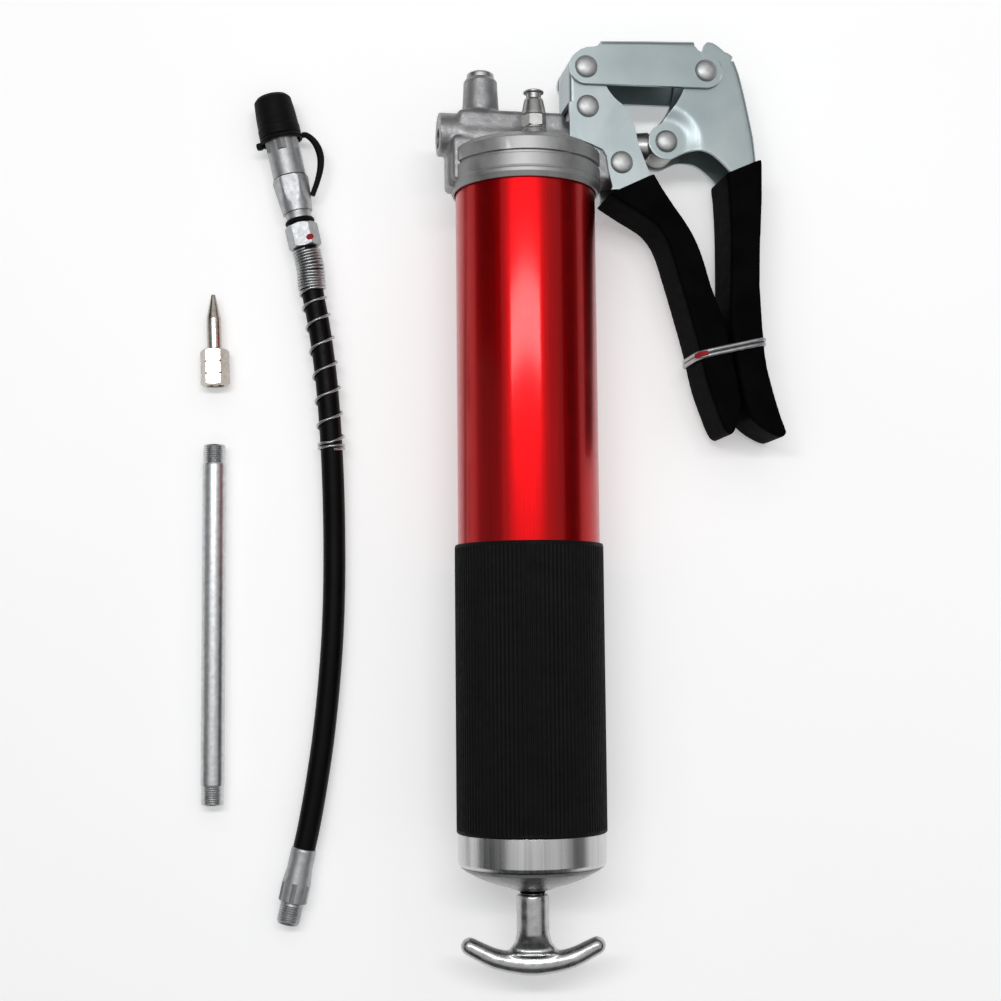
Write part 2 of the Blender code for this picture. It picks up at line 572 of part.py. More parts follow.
handle_line = smooth([(-25.2, -302.4, 0.0), (-14.0, -307.7, 0.0), (0.0, -309.4, 0.0),
                      (14.0, -307.7, 0.0), (25.2, -302.4, 0.0)], 3)
sizes = [0.74 + 0.26 * (1.0 - abs(2.0 * i / (len(handle_line) - 1) - 1.0)) for i in range(len(handle_line))]
grip_bar = from_curve(wire("t_handle", handle_line, T_BAR_R, 2, scales=sizes))
place(grip_bar, ROD, CAST, turn=(0.0, -ROLL, 0.0))
stem = turned("t_stem", [(0.0, T_TOP), (6.4, T_TOP), (6.4, -298.0), (7.4, -302.0), (8.6, -305.0),
                         (5.0, -308.0), (0.0, -308.0)], 14)
combine(grip_bar, stem, "UNION", turn=ALONG_Y)
for side in (-1.0, 1.0):
    bm = bmesh.new()
    bmesh.ops.create_uvsphere(bm, u_segments=12, v_segments=6, radius=3.4 * MM)
    combine(grip_bar, mesh_object("t_end_left" if side < 0 else "t_end_right", bm), "UNION",
            (25.0 * side, -302.5, 0.0))
combine(grip_bar, bar("t_socket", ROD_R + GAP, -300.4, -280.0, 20), turn=ALONG_Y)

# -------------------------------------------------------- tie round both handles
tie_line = []
low = Vector((68.4, -67.0))
high = Vector((98.9, -60.2))
for along, depth in ((0.06, 1.0), (0.5, 1.0), (0.94, 1.0), (1.0, 0.8), (1.0, 0.0), (1.0, -0.8),
                     (0.94, -1.0), (0.5, -1.0), (0.06, -1.0), (0.0, -0.8), (0.0, 0.0), (0.0, 0.8)):
    spot = low.lerp(high, along)
    tie_line.append((spot.x, spot.y, depth * (GRIP_OUT + 1.3)))
place(wire("handle_tie", tie_line, 0.7, 1, cyclic=True), GUN, TIE)

# ------------------------------------------------------------------ flexible hose
HOSE = Frame("hose_line", ROOT, (COUPLER_START[0], COUPLER_START[1], COUPLER_Z),
             (-math.pi / 2, 0.0, COUPLER_TILT))
CAP = Frame("dust_cap_line", HOSE)


def down(profile):
    """Profiles on the hose are given from the cap's top downwards."""
    return [(r, -h) for r, h in profile]


dust_cap = turned("dust_cap", down([(0.0, 0.0), (6.6, 0.0), (8.0, 1.4), (8.9, 14.0), (8.9, 18.2), (6.7, 18.2),
                                    (6.7, 3.0), (0.0, 3.0)]), 20)
place(dust_cap, CAP, RUBBER)
coupler_nose = turned("coupler_nose", down([(5.4, 3.6), (6.3, 5.0), (6.3, 18.6), (7.0, 18.6), (7.0, 36.0),
                                            (2.8, 36.0), (2.8, 12.4), (4.4, 10.0), (4.4, 3.6)]), 16)
combine(coupler_nose, bar("nose_hexagon", 7.9, -25.2, -19.2, 6), "UNION")
combine(coupler_nose, bar("nose_bore", 3.4, -40.0, -11.0, 16))
place(coupler_nose, HOSE, ZINC)
jaw = turned("coupler_jaws", down([(4.1, 4.0), (4.1, 9.8), (3.0, 11.4), (2.3, 11.4), (2.3, 4.0)]), 12)
place(jaw, HOSE, STEEL)
coupler_body = bar("coupler_body", 7.8, -51.4, -36.3, 6)
shape = turned("body_shape", down([(0.0, 36.0), (7.2, 36.0), (7.9, 37.4), (6.9, 48.6), (6.4, 51.6),
                                   (0.0, 51.6)]), 18)
combine(coupler_body, shape, "INTERSECT")
combine(coupler_body, bar("body_neck", 5.4, -54.5, -50.0, 20), "UNION")
combine(coupler_body, bar("body_bore", 3.4, -60.0, -30.0, 16))
place(coupler_body, HOSE, ZINC)
ring = turned("coupler_seal_ring", down([(6.0, 54.8), (6.3, 55.2), (6.3, 56.4), (6.0, 56.8), (3.4, 56.8),
                                         (3.4, 54.8)]), 16)
place(ring, HOSE, RUBBER)
hose_nut = bar("hose_nut", 7.1, -NUT_END, -57.1, 6)
combine(hose_nut, bar("hose_nut_bore", 3.4, -80.0, -50.0, 16))
place(hose_nut, HOSE, ZINC)

away = Vector((math.sin(COUPLER_TILT), -math.cos(COUPLER_TILT), 0.0))
begin = Vector((*COUPLER_START, COUPLER_Z))
first = begin + away * (NUT_END + GAP)
second = begin + away * (NUT_END + 9.0)
route = [tuple(first), tuple(second), (-90.0, -33.5, 8.6), (-87.0, -50.3, 8.0), (-84.2, -71.5, 7.8),
         (-82.5, -93.0, 7.2), (-81.5, -115.0, 6.0), (-81.1, -138.0, 5.0), (-81.2, -160.0, 4.8),
         (-82.0, -181.0, 4.8), (-83.6, -202.0, 4.8), (-85.9, -223.0, 4.9), (-88.9, -243.0, 5.3),
         (-91.4, -257.0, 5.9), (-92.9, -264.0, 6.3), (-93.35, -266.0, 6.4)]
FREE = Frame("hose_lay", ROOT)
place(wire("hose", smooth(route, 2), HOSE_R, 2), FREE, RUBBER)

# Guard spring: close coils under the nut, then open coils, then a closed end
lay = smooth(route, 12)
marks = [0.0]
for a, b in zip(lay, lay[1:]):
    marks.append(marks[-1] + (Vector(b) - Vector(a)).length)


def along(distance):
    for i in range(len(marks) - 1):
        if marks[i + 1] >= distance:
            share = (distance - marks[i]) / (marks[i + 1] - marks[i])
            spot = Vector(lay[i]).lerp(Vector(lay[i + 1]), share)
            return spot, (Vector(lay[i + 1]) - Vector(lay[i])).normalized()
    return Vector(lay[-1]), Vector((0.0, -1.0, 0.0))


stations = [1.2 + 2.75 * i for i in range(7)]
stations += [23.3, 31.4, 41.7, 52.4, 63.1, 73.8, 83.4, 85.4]
coil = []
for low_mark, high_mark in zip(stations, stations[1:]):
    for i in range(7):
        spot, run = along(low_mark + (high_mark - low_mark) * i / 7)
        across = run.cross(Vector((0.0, 0.0, 1.0))).normalized()
        upward = across.cross(run)
        angle = math.pi * (0.5 - 2.0 * i / 7)
        coil.append(tuple(spot + 6.1 * (across * math.cos(angle) + upward * math.sin(angle))))
place(wire("hose_guard_spring", coil, 0.7), FREE, SPRING)

# Crimped end fitting: ferrule, hexagon and male thread
END = Frame("end_fitting_line", ROOT, (-93.42, -266.3, 6.5), (-math.pi / 2, 0.0, -math.radians(12.4)))
fitting = turned("hose_end_fitting", down([(5.0, 0.0), (5.3, 1.0), (5.3, 8.5), (6.0, 14.0), (5.9, 22.4),
                                           (4.6, 22.6), (4.8, 24.0), (4.8, 30.2), (4.2, 31.2),
                                           (1.8, 31.2), (1.8, 0.0)]), 16)
combine(fitting, bar("fitting_hexagon", 6.4, -22.0, -13.8, 6), "UNION")
combine(fitting, bar("fitting_bore", 2.4, -40.0, 5.0, 16))
place(fitting, END, ZINC)

# Rubber strap from the cap back to the coupler
strap_line = smooth([(10.4, 0.0, -16.2), (12.6, 0.0, -19.6), (14.4, 0.0, -24.2), (14.9, 0.0, -29.2),
                     (14.0, 0.0, -34.6), (11.8, 0.0, -39.4), (9.4, 0.0, -43.0)], 2)
place(wire("dust_cap_strap", strap_line, 1.2, 2), HOSE, RUBBER)

# ------------------------------------------------------- extension tube and nozzle
TUBE = Frame("tube_line", ROOT, (TUBE_X, 0.0, TUBE_R + 0.1), ALONG_Y)
tube = turned("extension_tube", [(4.1, TUBE_TOP), (4.6, TUBE_TOP - 1.0), (4.6, TUBE_TOP - 8.0),
                                 (TUBE_R, TUBE_TOP - 8.6), (TUBE_R, TUBE_BOTTOM + 8.6),
                                 (4.6, TUBE_BOTTOM + 8.0), (4.6, TUBE_BOTTOM + 1.0), (4.1, TUBE_BOTTOM),
                                 (3.2, TUBE_BOTTOM), (3.2, TUBE_TOP)], 20)
place(tube, TUBE, ZINC)
NOZZLE = Frame("nozzle_line", ROOT, (*NOZZLE_BASE, 5.4), (-math.pi / 2, 0.0, NOZZLE_TILT))
nozzle = turned("needle_nozzle", [(0.9, NOZZLE_LENGTH), (3.1, 28.9), (3.1, 16.2), (4.6, 15.6), (5.0, 0.8),
                                  (4.6, 0.0), (1.8, 0.0), (1.8, 9.0), (0.5, 12.0), (0.5, NOZZLE_LENGTH)], 14)
combine(nozzle, bar("nozzle_hexagon", 6.2, 0.9, 15.4, 6), "UNION", turn=(0.0, 0.0, math.pi / 6))
combine(nozzle, bar("nozzle_socket", 3.6, -4.0, 8.5, 16))
place(nozzle, NOZZLE, NICKEL)

# ---------------------------------------------------- origin under the middle
CORD_SIDE = {"hose", "hose_guard_spring", "hose_nut", "hose_end_fitting", "coupler_body", "coupler_nose",
             "coupler_jaws", "coupler_seal_ring", "dust_cap", "dust_cap_strap"}
bpy.context.view_layer.update()
graph = bpy.context.evaluated_depsgraph_get()
low = Vector((1e9, 1e9, 1e9))
high = -low
for obj in PARTS.objects:
    if obj.name in CORD_SIDE:
        continue
    shown = obj.evaluated_get(graph)
    mesh = shown.to_mesh()
    for vert in mesh.vertices:
        spot = obj.matrix_world @ vert.co
        low = Vector(map(min, low, spot))
        high = Vector(map(max, high, spot))
    shown.to_mesh_clear()
ROOT.empty.location = (-0.5 * (low.x + high.x), -0.5 * (low.y + high.y), -low.z)
bpy.context.view_layer.update()
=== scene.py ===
import json
import math

import bmesh
import bpy
from mathutils import Matrix, Vector
from mathutils.geometry import delaunay_2d_cdt


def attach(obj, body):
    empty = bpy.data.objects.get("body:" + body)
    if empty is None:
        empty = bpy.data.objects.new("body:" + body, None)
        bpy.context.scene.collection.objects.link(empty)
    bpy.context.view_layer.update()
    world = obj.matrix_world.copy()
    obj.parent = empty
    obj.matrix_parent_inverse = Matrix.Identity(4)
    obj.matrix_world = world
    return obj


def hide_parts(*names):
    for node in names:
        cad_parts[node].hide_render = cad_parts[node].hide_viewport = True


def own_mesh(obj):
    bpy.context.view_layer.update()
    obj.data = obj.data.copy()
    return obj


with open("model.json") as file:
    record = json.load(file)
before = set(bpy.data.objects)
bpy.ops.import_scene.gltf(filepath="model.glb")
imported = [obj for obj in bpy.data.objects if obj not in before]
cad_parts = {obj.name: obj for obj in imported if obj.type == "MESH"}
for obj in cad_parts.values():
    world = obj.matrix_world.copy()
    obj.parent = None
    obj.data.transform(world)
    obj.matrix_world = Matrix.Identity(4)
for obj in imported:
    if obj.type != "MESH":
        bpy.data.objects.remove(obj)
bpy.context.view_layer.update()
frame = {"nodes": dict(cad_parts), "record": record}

MM = 0.001

# A lever grease gun lying on its side, with its hose, extension tube and nozzle beside it.
# Shapes are drawn in mm. The gun's own frame has its axis along Y and is rolled about it.
ROLL = math.radians(9.8)
AXIS_HEIGHT = 31.0

# Linkage pins and casting axes, in the gun's own frame
PIN_A = (23.5, 51.5)
PIN_B = (74.3, 52.3)
PIN_C = (57.8, 22.7)
RIVET_D = (24.4, 35.6)
RIVET_E = (38.3, 12.6)
PUMP_Y = 22.7
STUB_X = -18.3
BLEEDER_Z = 20.5

# Half widths across the plates, the link and the grips
PLATE = 11.2
LINK_HALF = 13.3
GRIP_HALF = 12.8

# Sheet metal of the bracket and the lever, and of the link
SHEET = 1.7
SHEET_BEND = 1.8
LINK_SHEET = 1.8
LINK_BEND = 2.4
CORE_INSET = 2.2
JOGGLE_DEPTH = 1.6

# Barrel, sleeve, follower spring, crosshead slot and hose
BARREL_R = 28.6
BARREL_BORE = 27.1
SLEEVE_R = 30.0
SLEEVE_TOP = -143.8
SLEEVE_END = -257.95
RIB_COUNT = 112
RIB_DEPTH = 0.16
SPRING_R = 19.5
SPRING_WIRE_R = 1.1
SPRING_STEPS = 28
SLOT_R = 3.7
SLOT_REACH = 1.0
HOSE_R = 4.65
HOSE_TILT = math.radians(12.6)
END_TILT = math.radians(12.4)

joints = {j["name"]: j for j in frame["record"]["behaviour"]["joints"]}
TURN = Matrix.Rotation(ROLL, 4, "Y")
gun_origin = Vector(joints["link_swing"]["pos_m"]) - TURN @ (Vector((*PIN_A, 0.0)) * MM)
GUN = Matrix.Translation(gun_origin) @ TURN
ROOT = Matrix.Translation(gun_origin - Vector((0.0, 0.0, AXIS_HEIGHT * MM)))
ALONG_Y = Matrix.Rotation(-math.pi / 2, 4, "X")
ALONG_X = Matrix.Rotation(math.pi / 2, 4, "Y")
ZUP = Matrix.Identity(4)
SIXTH = Matrix.Rotation(math.pi / 6, 4, "Z")


def shift(x, y, z):
    return Matrix.Translation(Vector((x, y, z)) * MM)


def add_object(name, data):
    obj = bpy.data.objects.new(name, data)
    bpy.context.scene.collection.objects.link(obj)
    return obj


def as_mesh(name, bm):
    mesh = bpy.data.meshes.new(name)
    bm.to_mesh(mesh)
    bm.free()
    return mesh


# ---- materials
def new_material(name, colour, roughness, metallic, **extra):
    mat = bpy.data.materials.new(name)
    mat.use_nodes = True
    shader = mat.node_tree.nodes["Principled BSDF"]
    shader.inputs["Base Color"].default_value = (*colour, 1.0)
    shader.inputs["Roughness"].default_value = roughness
    shader.inputs["Metallic"].default_value = metallic
    for key, value in extra.items():
        shader.inputs[key.replace("_", " ")].default_value = value
    mat.diffuse_color = (*colour, 1.0)
    return mat


def coords(mat, scale=(1.0, 1.0, 1.0)):
    nodes, links = mat.node_tree.nodes, mat.node_tree.links
    source = nodes.new("ShaderNodeTexCoord")
    mapping = nodes.new("ShaderNodeMapping")
    mapping.inputs["Scale"].default_value = scale
    links.new(source.outputs["Object"], mapping.inputs["Vector"])
    return mapping.outputs["Vector"]


def noise_node(mat, scale, detail=3.0, rough=0.55, stretch=(1.0, 1.0, 1.0)):
    node = mat.node_tree.nodes.new("ShaderNodeTexNoise")
    node.inputs["Scale"].default_value = scale
    node.inputs["Detail"].default_value = detail
    node.inputs["Roughness"].default_value = rough
    mat.node_tree.links.new(coords(mat, stretch), node.inputs["Vector"])
    return node.outputs["Fac"]


def ramp(mat, source, low, high, low_at=0.3, high_at=0.7):
    node = mat.node_tree.nodes.new("ShaderNodeMapRange")
    node.inputs["From Min"].default_value = low_at
    node.inputs["From Max"].default_value = high_at
    node.inputs["To Min"].default_value = low
    node.inputs["To Max"].default_value = high
    mat.node_tree.links.new(source, node.inputs["Value"])
    return node.outputs["Result"]


def blend_colour(mat, first, second, factor):
    """One colour fading to another; each is a colour or a node's output."""
    node = mat.node_tree.nodes.new("ShaderNodeMix")
    node.data_type = "RGBA"
    for socket, value in (("A", first), ("B", second)):
        if isinstance(value, tuple):
            node.inputs[socket].default_value = (*value, 1.0)
        else:
            mat.node_tree.links.new(value, node.inputs[socket])
    mat.node_tree.links.new(factor, node.inputs["Factor"])
    return node.outputs["Result"]


def tint(mat, source, dark, light, low_at=0.3, high_at=0.7):
    return blend_colour(mat, dark, light, ramp(mat, source, 0.0, 1.0, low_at, high_at))


def feed(mat, socket, source):
    shader = mat.node_tree.nodes["Principled BSDF"]
    mat.node_tree.links.new(source, shader.inputs[socket])


def bump(mat, source, distance, strength, under=None):
    node = mat.node_tree.nodes.new("ShaderNodeBump")
    node.inputs["Distance"].default_value = distance
    node.inputs["Strength"].default_value = strength
    links = mat.node_tree.links
    links.new(source, node.inputs["Height"])
    if under is not None:
        links.new(under, node.inputs["Normal"])
    feed(mat, "Normal", node.outputs["Normal"])
    return node.outputs["Normal"]


def edges(mat, low_at=0.51, high_at=0.58):
    """A mask that is 1 on sharp outer edges."""
    node = mat.node_tree.nodes.new("ShaderNodeNewGeometry")
    return ramp(mat, node.outputs["Pointiness"], 0.0, 1.0, low_at, high_at)


def zinc_material():
    mat = new_material("zinc_plate_look", (0.34, 0.39, 0.40), 0.40, 0.9)
    cloud = noise_node(mat, 40.0, 3.0)
    brushed = noise_node(mat, 1.0, 3.0, 0.6, (2200.0, 70.0, 300.0))
    base = tint(mat, cloud, (0.34, 0.40, 0.41), (0.43, 0.485, 0.49))
    feed(mat, "Base Color", blend_colour(mat, base, (0.60, 0.64, 0.66), edges(mat, 0.52, 0.60)))
    feed(mat, "Roughness", ramp(mat, brushed, 0.34, 0.46))
    fine = bump(mat, brushed, 0.00002, 0.4)
    bump(mat, noise_node(mat, 35.0, 1.0), 0.00018, 0.25, fine)
    return mat


def cast_material():
    mat = new_material("cast_aluminium_look", (0.27, 0.27, 0.275), 0.45, 0.9)
    cloud = noise_node(mat, 130.0, 5.0, 0.6)
    base = tint(mat, cloud, (0.26, 0.26, 0.265), (0.40, 0.40, 0.405))
    feed(mat, "Base Color", blend_colour(mat, base, (0.50, 0.50, 0.51), edges(mat)))
    feed(mat, "Roughness", ramp(mat, noise_node(mat, 500.0, 4.0), 0.36, 0.54))
    fine = bump(mat, noise_node(mat, 1400.0, 4.0, 0.65), 0.00016, 0.8)
    bump(mat, noise_node(mat, 260.0, 3.0), 0.00035, 0.55, fine)
    return mat


def turned_material(name, dark, light, low, high, along, around):
    """Machined metal over fine turning lines; soft streaks along its axis vary the roughness and are painted
    into the colour as the reflections that the turning spreads along the axis.
    """
    mat = new_material(name, light, 0.3, 1.0)
    streak_and_painted_reflection = noise_node(mat, 1.0, 3.0, 0.6, (around, around, along))
    fine = noise_node(mat, 1.0, 2.0, 0.6, (60.0, 60.0, 2600.0))
    # Painted reflection: lighter and darker streaks along the axis in the base colour stand in for the
    # stretched highlights of the turning lines
    base = tint(mat, streak_and_painted_reflection, dark, light, 0.25, 0.75)
    feed(mat, "Base Color", blend_colour(mat, base, tuple(c * 1.35 for c in light), edges(mat, 0.52, 0.60)))
    feed(mat, "Roughness", ramp(mat, streak_and_painted_reflection, low, high))
    bump(mat, fine, 0.00003, 0.4)
    return mat


def painted_dome_reflection(mat, start, end, dark, light):
    """Painted reflection: past a height on the piece's own axis the colour turns dark, paler towards its end,
    standing in for the dark surroundings and the floor mirrored in the cap's dome.
    """
    nodes = mat.node_tree.nodes
    split = nodes.new("ShaderNodeSeparateXYZ")
    mat.node_tree.links.new(coords(mat), split.inputs["Vector"])
    height = split.outputs["Z"]
    body_colour = nodes["Principled BSDF"].inputs["Base Color"].links[0].from_socket
    # Painted reflection: dark where the dome starts, pale at its end
    painted_reflection = tint(mat, height, (light, light, light), (dark, dark, dark), end, start)
    where = ramp(mat, height, 0.0, 1.0, start, start + 0.0006)
    feed(mat, "Base Color", blend_colour(mat, painted_reflection, body_colour, where))


def red_material():
    mat = new_material("red_anodised_look", (0.55, 0.002, 0.004), 0.33, 1.0, Coat_Weight=0.42,
                       Coat_Roughness=0.10, Coat_IOR=1.4)
    grain = noise_node(mat, 1.0, 3.0, 0.6, (1500.0, 1500.0, 22.0))
    feed(mat, "Base Color", tint(mat, grain, (0.42, 0.0012, 0.0025), (0.52, 0.002, 0.004)))
    feed(mat, "Roughness", ramp(mat, noise_node(mat, 200.0, 4.0), 0.30, 0.36))
    bump(mat, grain, 0.00001, 0.3)
    return mat


def rubber_material(name, colour, low, high, grain=1800.0, depth=0.00006, shine=0.12):
    mat = new_material(name, colour, 0.6, 0.0, Specular_IOR_Level=shine)
    light = tuple(c * 1.8 + 0.0004 for c in colour)
    feed(mat, "Base Color", tint(mat, noise_node(mat, 70.0, 4.0), colour, light))
    feed(mat, "Roughness", ramp(mat, noise_node(mat, 320.0, 4.0), low, high))
    fine = bump(mat, noise_node(mat, grain, 3.0), depth, 0.7)
    bump(mat, noise_node(mat, 140.0, 2.0), 0.00012, 0.4, fine)
    return mat


def steel_material(name, dark, light, low, high):
    mat = new_material(name, light, 0.22, 1.0)
    feed(mat, "Base Color", tint(mat, noise_node(mat, 420.0, 4.0), dark, light))
    feed(mat, "Roughness", ramp(mat, noise_node(mat, 700.0, 4.0), low, high))
    bump(mat, noise_node(mat, 1500.0, 2.0), 0.00003, 0.6)
    return mat


# A finish is a look and the record's slot that it stands for
ZINC = (zinc_material(), "zinc_plate")
CAST = (cast_material(), "cast_aluminium")
turned = turned_material("turned_aluminium_look", (0.46, 0.46, 0.465), (0.72, 0.72, 0.72), 0.22, 0.34,
                         8.0, 420.0)
# Painted reflection on the cap's dome: dark past the rim where dark surroundings would be mirrored, paler
# towards the rod where the floor would be
painted_dome_reflection(turned, -0.2712, -0.2790, 0.08, 0.34)
TURNED = (turned, "cast_aluminium")
HANDLE = (turned_material("handle_look", (0.40, 0.40, 0.405), (0.62, 0.62, 0.62), 0.22, 0.36,
                          60.0, 260.0), "cast_aluminium")
COLLAR = (turned_material("collar_look", (0.34, 0.34, 0.343), (0.47, 0.47, 0.47), 0.44, 0.56,
                          120.0, 160.0), "cast_aluminium")
RED = (red_material(), "red_anodised")
SLEEVE = (rubber_material("sleeve_rubber_look", (0.0022, 0.0022, 0.0024), 0.50, 0.66), "black_rubber")
VINYL = (rubber_material("vinyl_look", (0.0022, 0.0021, 0.0024), 0.38, 0.50, 900.0, 0.00003, 0.004),
         "black_vinyl")
HOSE = (rubber_material("hose_rubber_look", (0.0016, 0.0016, 0.0017), 0.30, 0.46, 1500.0, 0.00005, 0.08),
        "black_rubber")
STEEL = (steel_material("bright_steel_look", (0.40, 0.40, 0.39), (0.50, 0.50, 0.48), 0.30, 0.42),
         "bright_steel")
SPRING = (steel_material("spring_wire_look", (0.36, 0.37, 0.37), (0.52, 0.53, 0.53), 0.26, 0.38),
          "spring_steel")
PLATED = (steel_material("plated_fitting_look", (0.38, 0.39, 0.40), (0.50, 0.51, 0.52), 0.40, 0.52),
          "zinc_plate")
TUBE = (steel_material("tube_look", (0.50, 0.51, 0.52), (0.68, 0.69, 0.70), 0.30, 0.42), "zinc_plate")
RIVET = (steel_material("rivet_look", (0.46, 0.47, 0.465), (0.60, 0.61, 0.605), 0.44, 0.56), "bright_steel")
NICKEL = (steel_material("nickel_look", (0.44, 0.40, 0.35), (0.58, 0.54, 0.48), 0.20, 0.30), "nickel_plate")
TIE = (steel_material("tie_look", (0.38, 0.38, 0.39), (0.52, 0.52, 0.53), 0.38, 0.50), "tie_band")
red_mark = rubber_material("red_mark_look", (0.24, 0.012, 0.016), 0.45, 0.6)
TIE_MARK = (red_mark, "tie_band")
NUT_MARK = (red_mark, "zinc_plate")


# ---- modelling helpers
SMOOTH_BELOW = 38.0
NEARLY_STRAIGHT = math.radians(172)
NEARLY_FOLDED = math.radians(8)
FILLET_CUTS = 3
WEB_CUTS = 5


def piece(name, bm, matrix, body, finish, replaces="", angle=SMOOTH_BELOW):
    """A piece made from a bmesh, with its faces turned outwards."""
    bmesh.ops.recalc_face_normals(bm, faces=bm.faces)
    return place(name, as_mesh(name, bm), matrix, body, finish, replaces, angle)


def place(name, mesh, matrix, body, finish, replaces="", angle=SMOOTH_BELOW):
    """A visible piece on a body: smooth up to angle, weighted normals baked in."""
    mesh.shade_smooth()
    mesh.set_sharp_from_angle(angle=math.radians(angle))
    work = add_object("work", mesh)
    mod = work.modifiers.new("Weighted", "WEIGHTED_NORMAL")
    mod.keep_sharp = True
    mesh = evaluated(work)
    mesh.name = name
    obj = add_object(name, mesh)
    obj.matrix_world = matrix
    mesh.materials.clear()
    mesh.materials.append(finish[0])
    bpy.context.view_layer.update()
    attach(obj, body)
    if replaces:
        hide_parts(replaces)
    return obj


def fillet(points, radius, closed):
    """Round the corners of a line of (x, y[, radius]) points."""
    out = []
    count = len(points)
    for i, item in enumerate(points):
        p = Vector(item[:2])
        r = item[2] if len(item) > 2 else radius
        if r <= 0.0 or (not closed and i in (0, count - 1)):
            out.append(tuple(p))
            continue
        a = Vector(points[i - 1][:2]) - p
        b = Vector(points[(i + 1) % count][:2]) - p
        angle = 0.0 if min(a.length, b.length) < 1e-6 else a.angle(b)
        if angle > NEARLY_STRAIGHT or angle < NEARLY_FOLDED:
            out.append(tuple(p))
            continue
        cut = min(r / math.tan(angle / 2), 0.45 * a.length, 0.45 * b.length)
        first = p + a.normalized() * cut
        last = p + b.normalized() * cut
        for k in range(FILLET_CUTS + 1):
            t = k / FILLET_CUTS
            out.append(tuple(first * (1 - t) ** 2 + p * 2 * t * (1 - t) + last * t ** 2))
    return out


def revolve(profile, steps, wobble=None):
    """Lathe a (radius, height) profile round Z; open at the axis, else a ring."""
    bm = bmesh.new()
    rings = []
    for r, h in profile:
        if r < 1e-6:
            rings.append([bm.verts.new((0.0, 0.0, h * MM))])
            continue
        ring = []
        for i in range(steps):
            angle = 2 * math.pi * i / steps
            rr = r if wobble is None else wobble(r, h, angle)
            ring.append(bm.verts.new((rr * math.cos(angle) * MM, rr * math.sin(angle) * MM, h * MM)))
        rings.append(ring)
    pairs = list(zip(rings, rings[1:]))
    if len(rings[0]) > 1 and len(rings[-1]) > 1:
        pairs.append((rings[-1], rings[0]))
    for a, b in pairs:
        for i in range(steps):
            j = (i + 1) % steps
            if len(a) == 1 and len(b) == 1:
                continue
            if len(a) == 1:
                bm.faces.new((a[0], b[i], b[j]))
            elif len(b) == 1:
                bm.faces.new((a[i], b[0], a[j]))
            else:
                bm.faces.new((a[i], b[i], b[j], a[j]))
    return bm


def turned_tool(profile, steps):
    """A lathed cutter, with its faces turned outwards."""
    bm = revolve(profile, steps)
    bmesh.ops.recalc_face_normals(bm, faces=bm.faces)
    return bm


def lathe(name, profile, matrix, body, finish, replaces="", steps=64, wobble=None, angle=SMOOTH_BELOW):
    """A lathed piece with rounded edges; a profile that starts off the axis is a closed ring."""
    shape = fillet(profile, 0.25, profile[0][0] > 0.0)
    return piece(name, revolve(shape, steps, wobble), matrix, body, finish, replaces, angle)


def prism(outline, low, high):
    bm = bmesh.new()
    below = [bm.verts.new((x * MM, y * MM, low * MM)) for x, y in outline]
    above = [bm.verts.new((x * MM, y * MM, high * MM)) for x, y in outline]
    bm.faces.new(below[::-1])
    bm.faces.new(above)
    for i in range(len(outline)):
        j = (i + 1) % len(outline)
        bm.faces.new((below[i], below[j], above[j], above[i]))
    bmesh.ops.recalc_face_normals(bm, faces=bm.faces)
    return bm


def evaluated(obj):
    """The object's mesh with its modifiers applied; the object goes away."""
    bpy.context.view_layer.update()
    graph = bpy.context.evaluated_depsgraph_get()
    mesh = bpy.data.meshes.new_from_object(obj.evaluated_get(graph))
    old = obj.data
    bpy.data.objects.remove(obj, do_unlink=True)
    bpy.data.meshes.remove(old)
    return mesh


def temp(bm):
    return add_object("work", as_mesh("work", bm))


def melted(shapes, voxel, rounds):
    """One soft-edged skin over several overlapping closed shapes, as a casting has."""
    whole = bmesh.new()
    for bm, matrix in shapes:
        bm.transform(matrix)
        mesh = as_mesh("shape", bm)
        whole.from_mesh(mesh)
        bpy.data.meshes.remove(mesh)
    obj = temp(whole)
    mod = obj.modifiers.new("Remesh", "REMESH")
    mod.mode = "VOXEL"
    mod.voxel_size = voxel * MM
    mod = obj.modifiers.new("Smooth", "SMOOTH")
    mod.factor = 0.5
    mod.iterations = rounds
    return evaluated(obj)


def carved(mesh, cutters, operation="DIFFERENCE"):
    """The mesh with each (bmesh, matrix) shape cut from it, joined to it or kept in common."""
    obj = add_object("work", mesh)
    tools = []
    for bm, matrix in cutters:
        tool = temp(bm)
        tool.matrix_world = matrix
        tools.append(tool)
        mod = obj.modifiers.new("Cut", "BOOLEAN")
        mod.operation = operation
        mod.object = tool
    result = evaluated(obj)
    for tool in tools:
        data = tool.data
        bpy.data.objects.remove(tool, do_unlink=True)
        bpy.data.meshes.remove(data)
    return result


def can(radius, low, high, sides=48, top=None):
    """A cylinder or cone along Z, as a building shape for castings and bores."""
    bm = bmesh.new()
    bmesh.ops.create_cone(bm, cap_ends=True, segments=sides, radius1=radius * MM,
                          radius2=(radius if top is None else top) * MM, depth=(high - low) * MM)
    bmesh.ops.translate(bm, verts=bm.verts, vec=(0.0, 0.0, 0.5 * (low + high) * MM))
    return bm


def brick(low, high, bevel=0.0):
    bm = bmesh.new()
    bmesh.ops.create_cube(bm, size=1.0)
    low = Vector(low) * MM
    high = Vector(high) * MM
    bmesh.ops.scale(bm, verts=bm.verts, vec=high - low)
    bmesh.ops.translate(bm, verts=bm.verts, vec=0.5 * (low + high))
    if bevel > 0.0:
        bmesh.ops.bevel(bm, geom=bm.edges[:], offset=bevel * MM, segments=3, profile=0.5, affect="EDGES")
    return bm


def arc(centre, radius, start, end, count):
    step = (end - start) / (count - 1)
    angles = [math.radians(start + step * i) for i in range(count)]
    return [(centre[0] + radius * math.cos(a), centre[1] + radius * math.sin(a)) for a in angles]


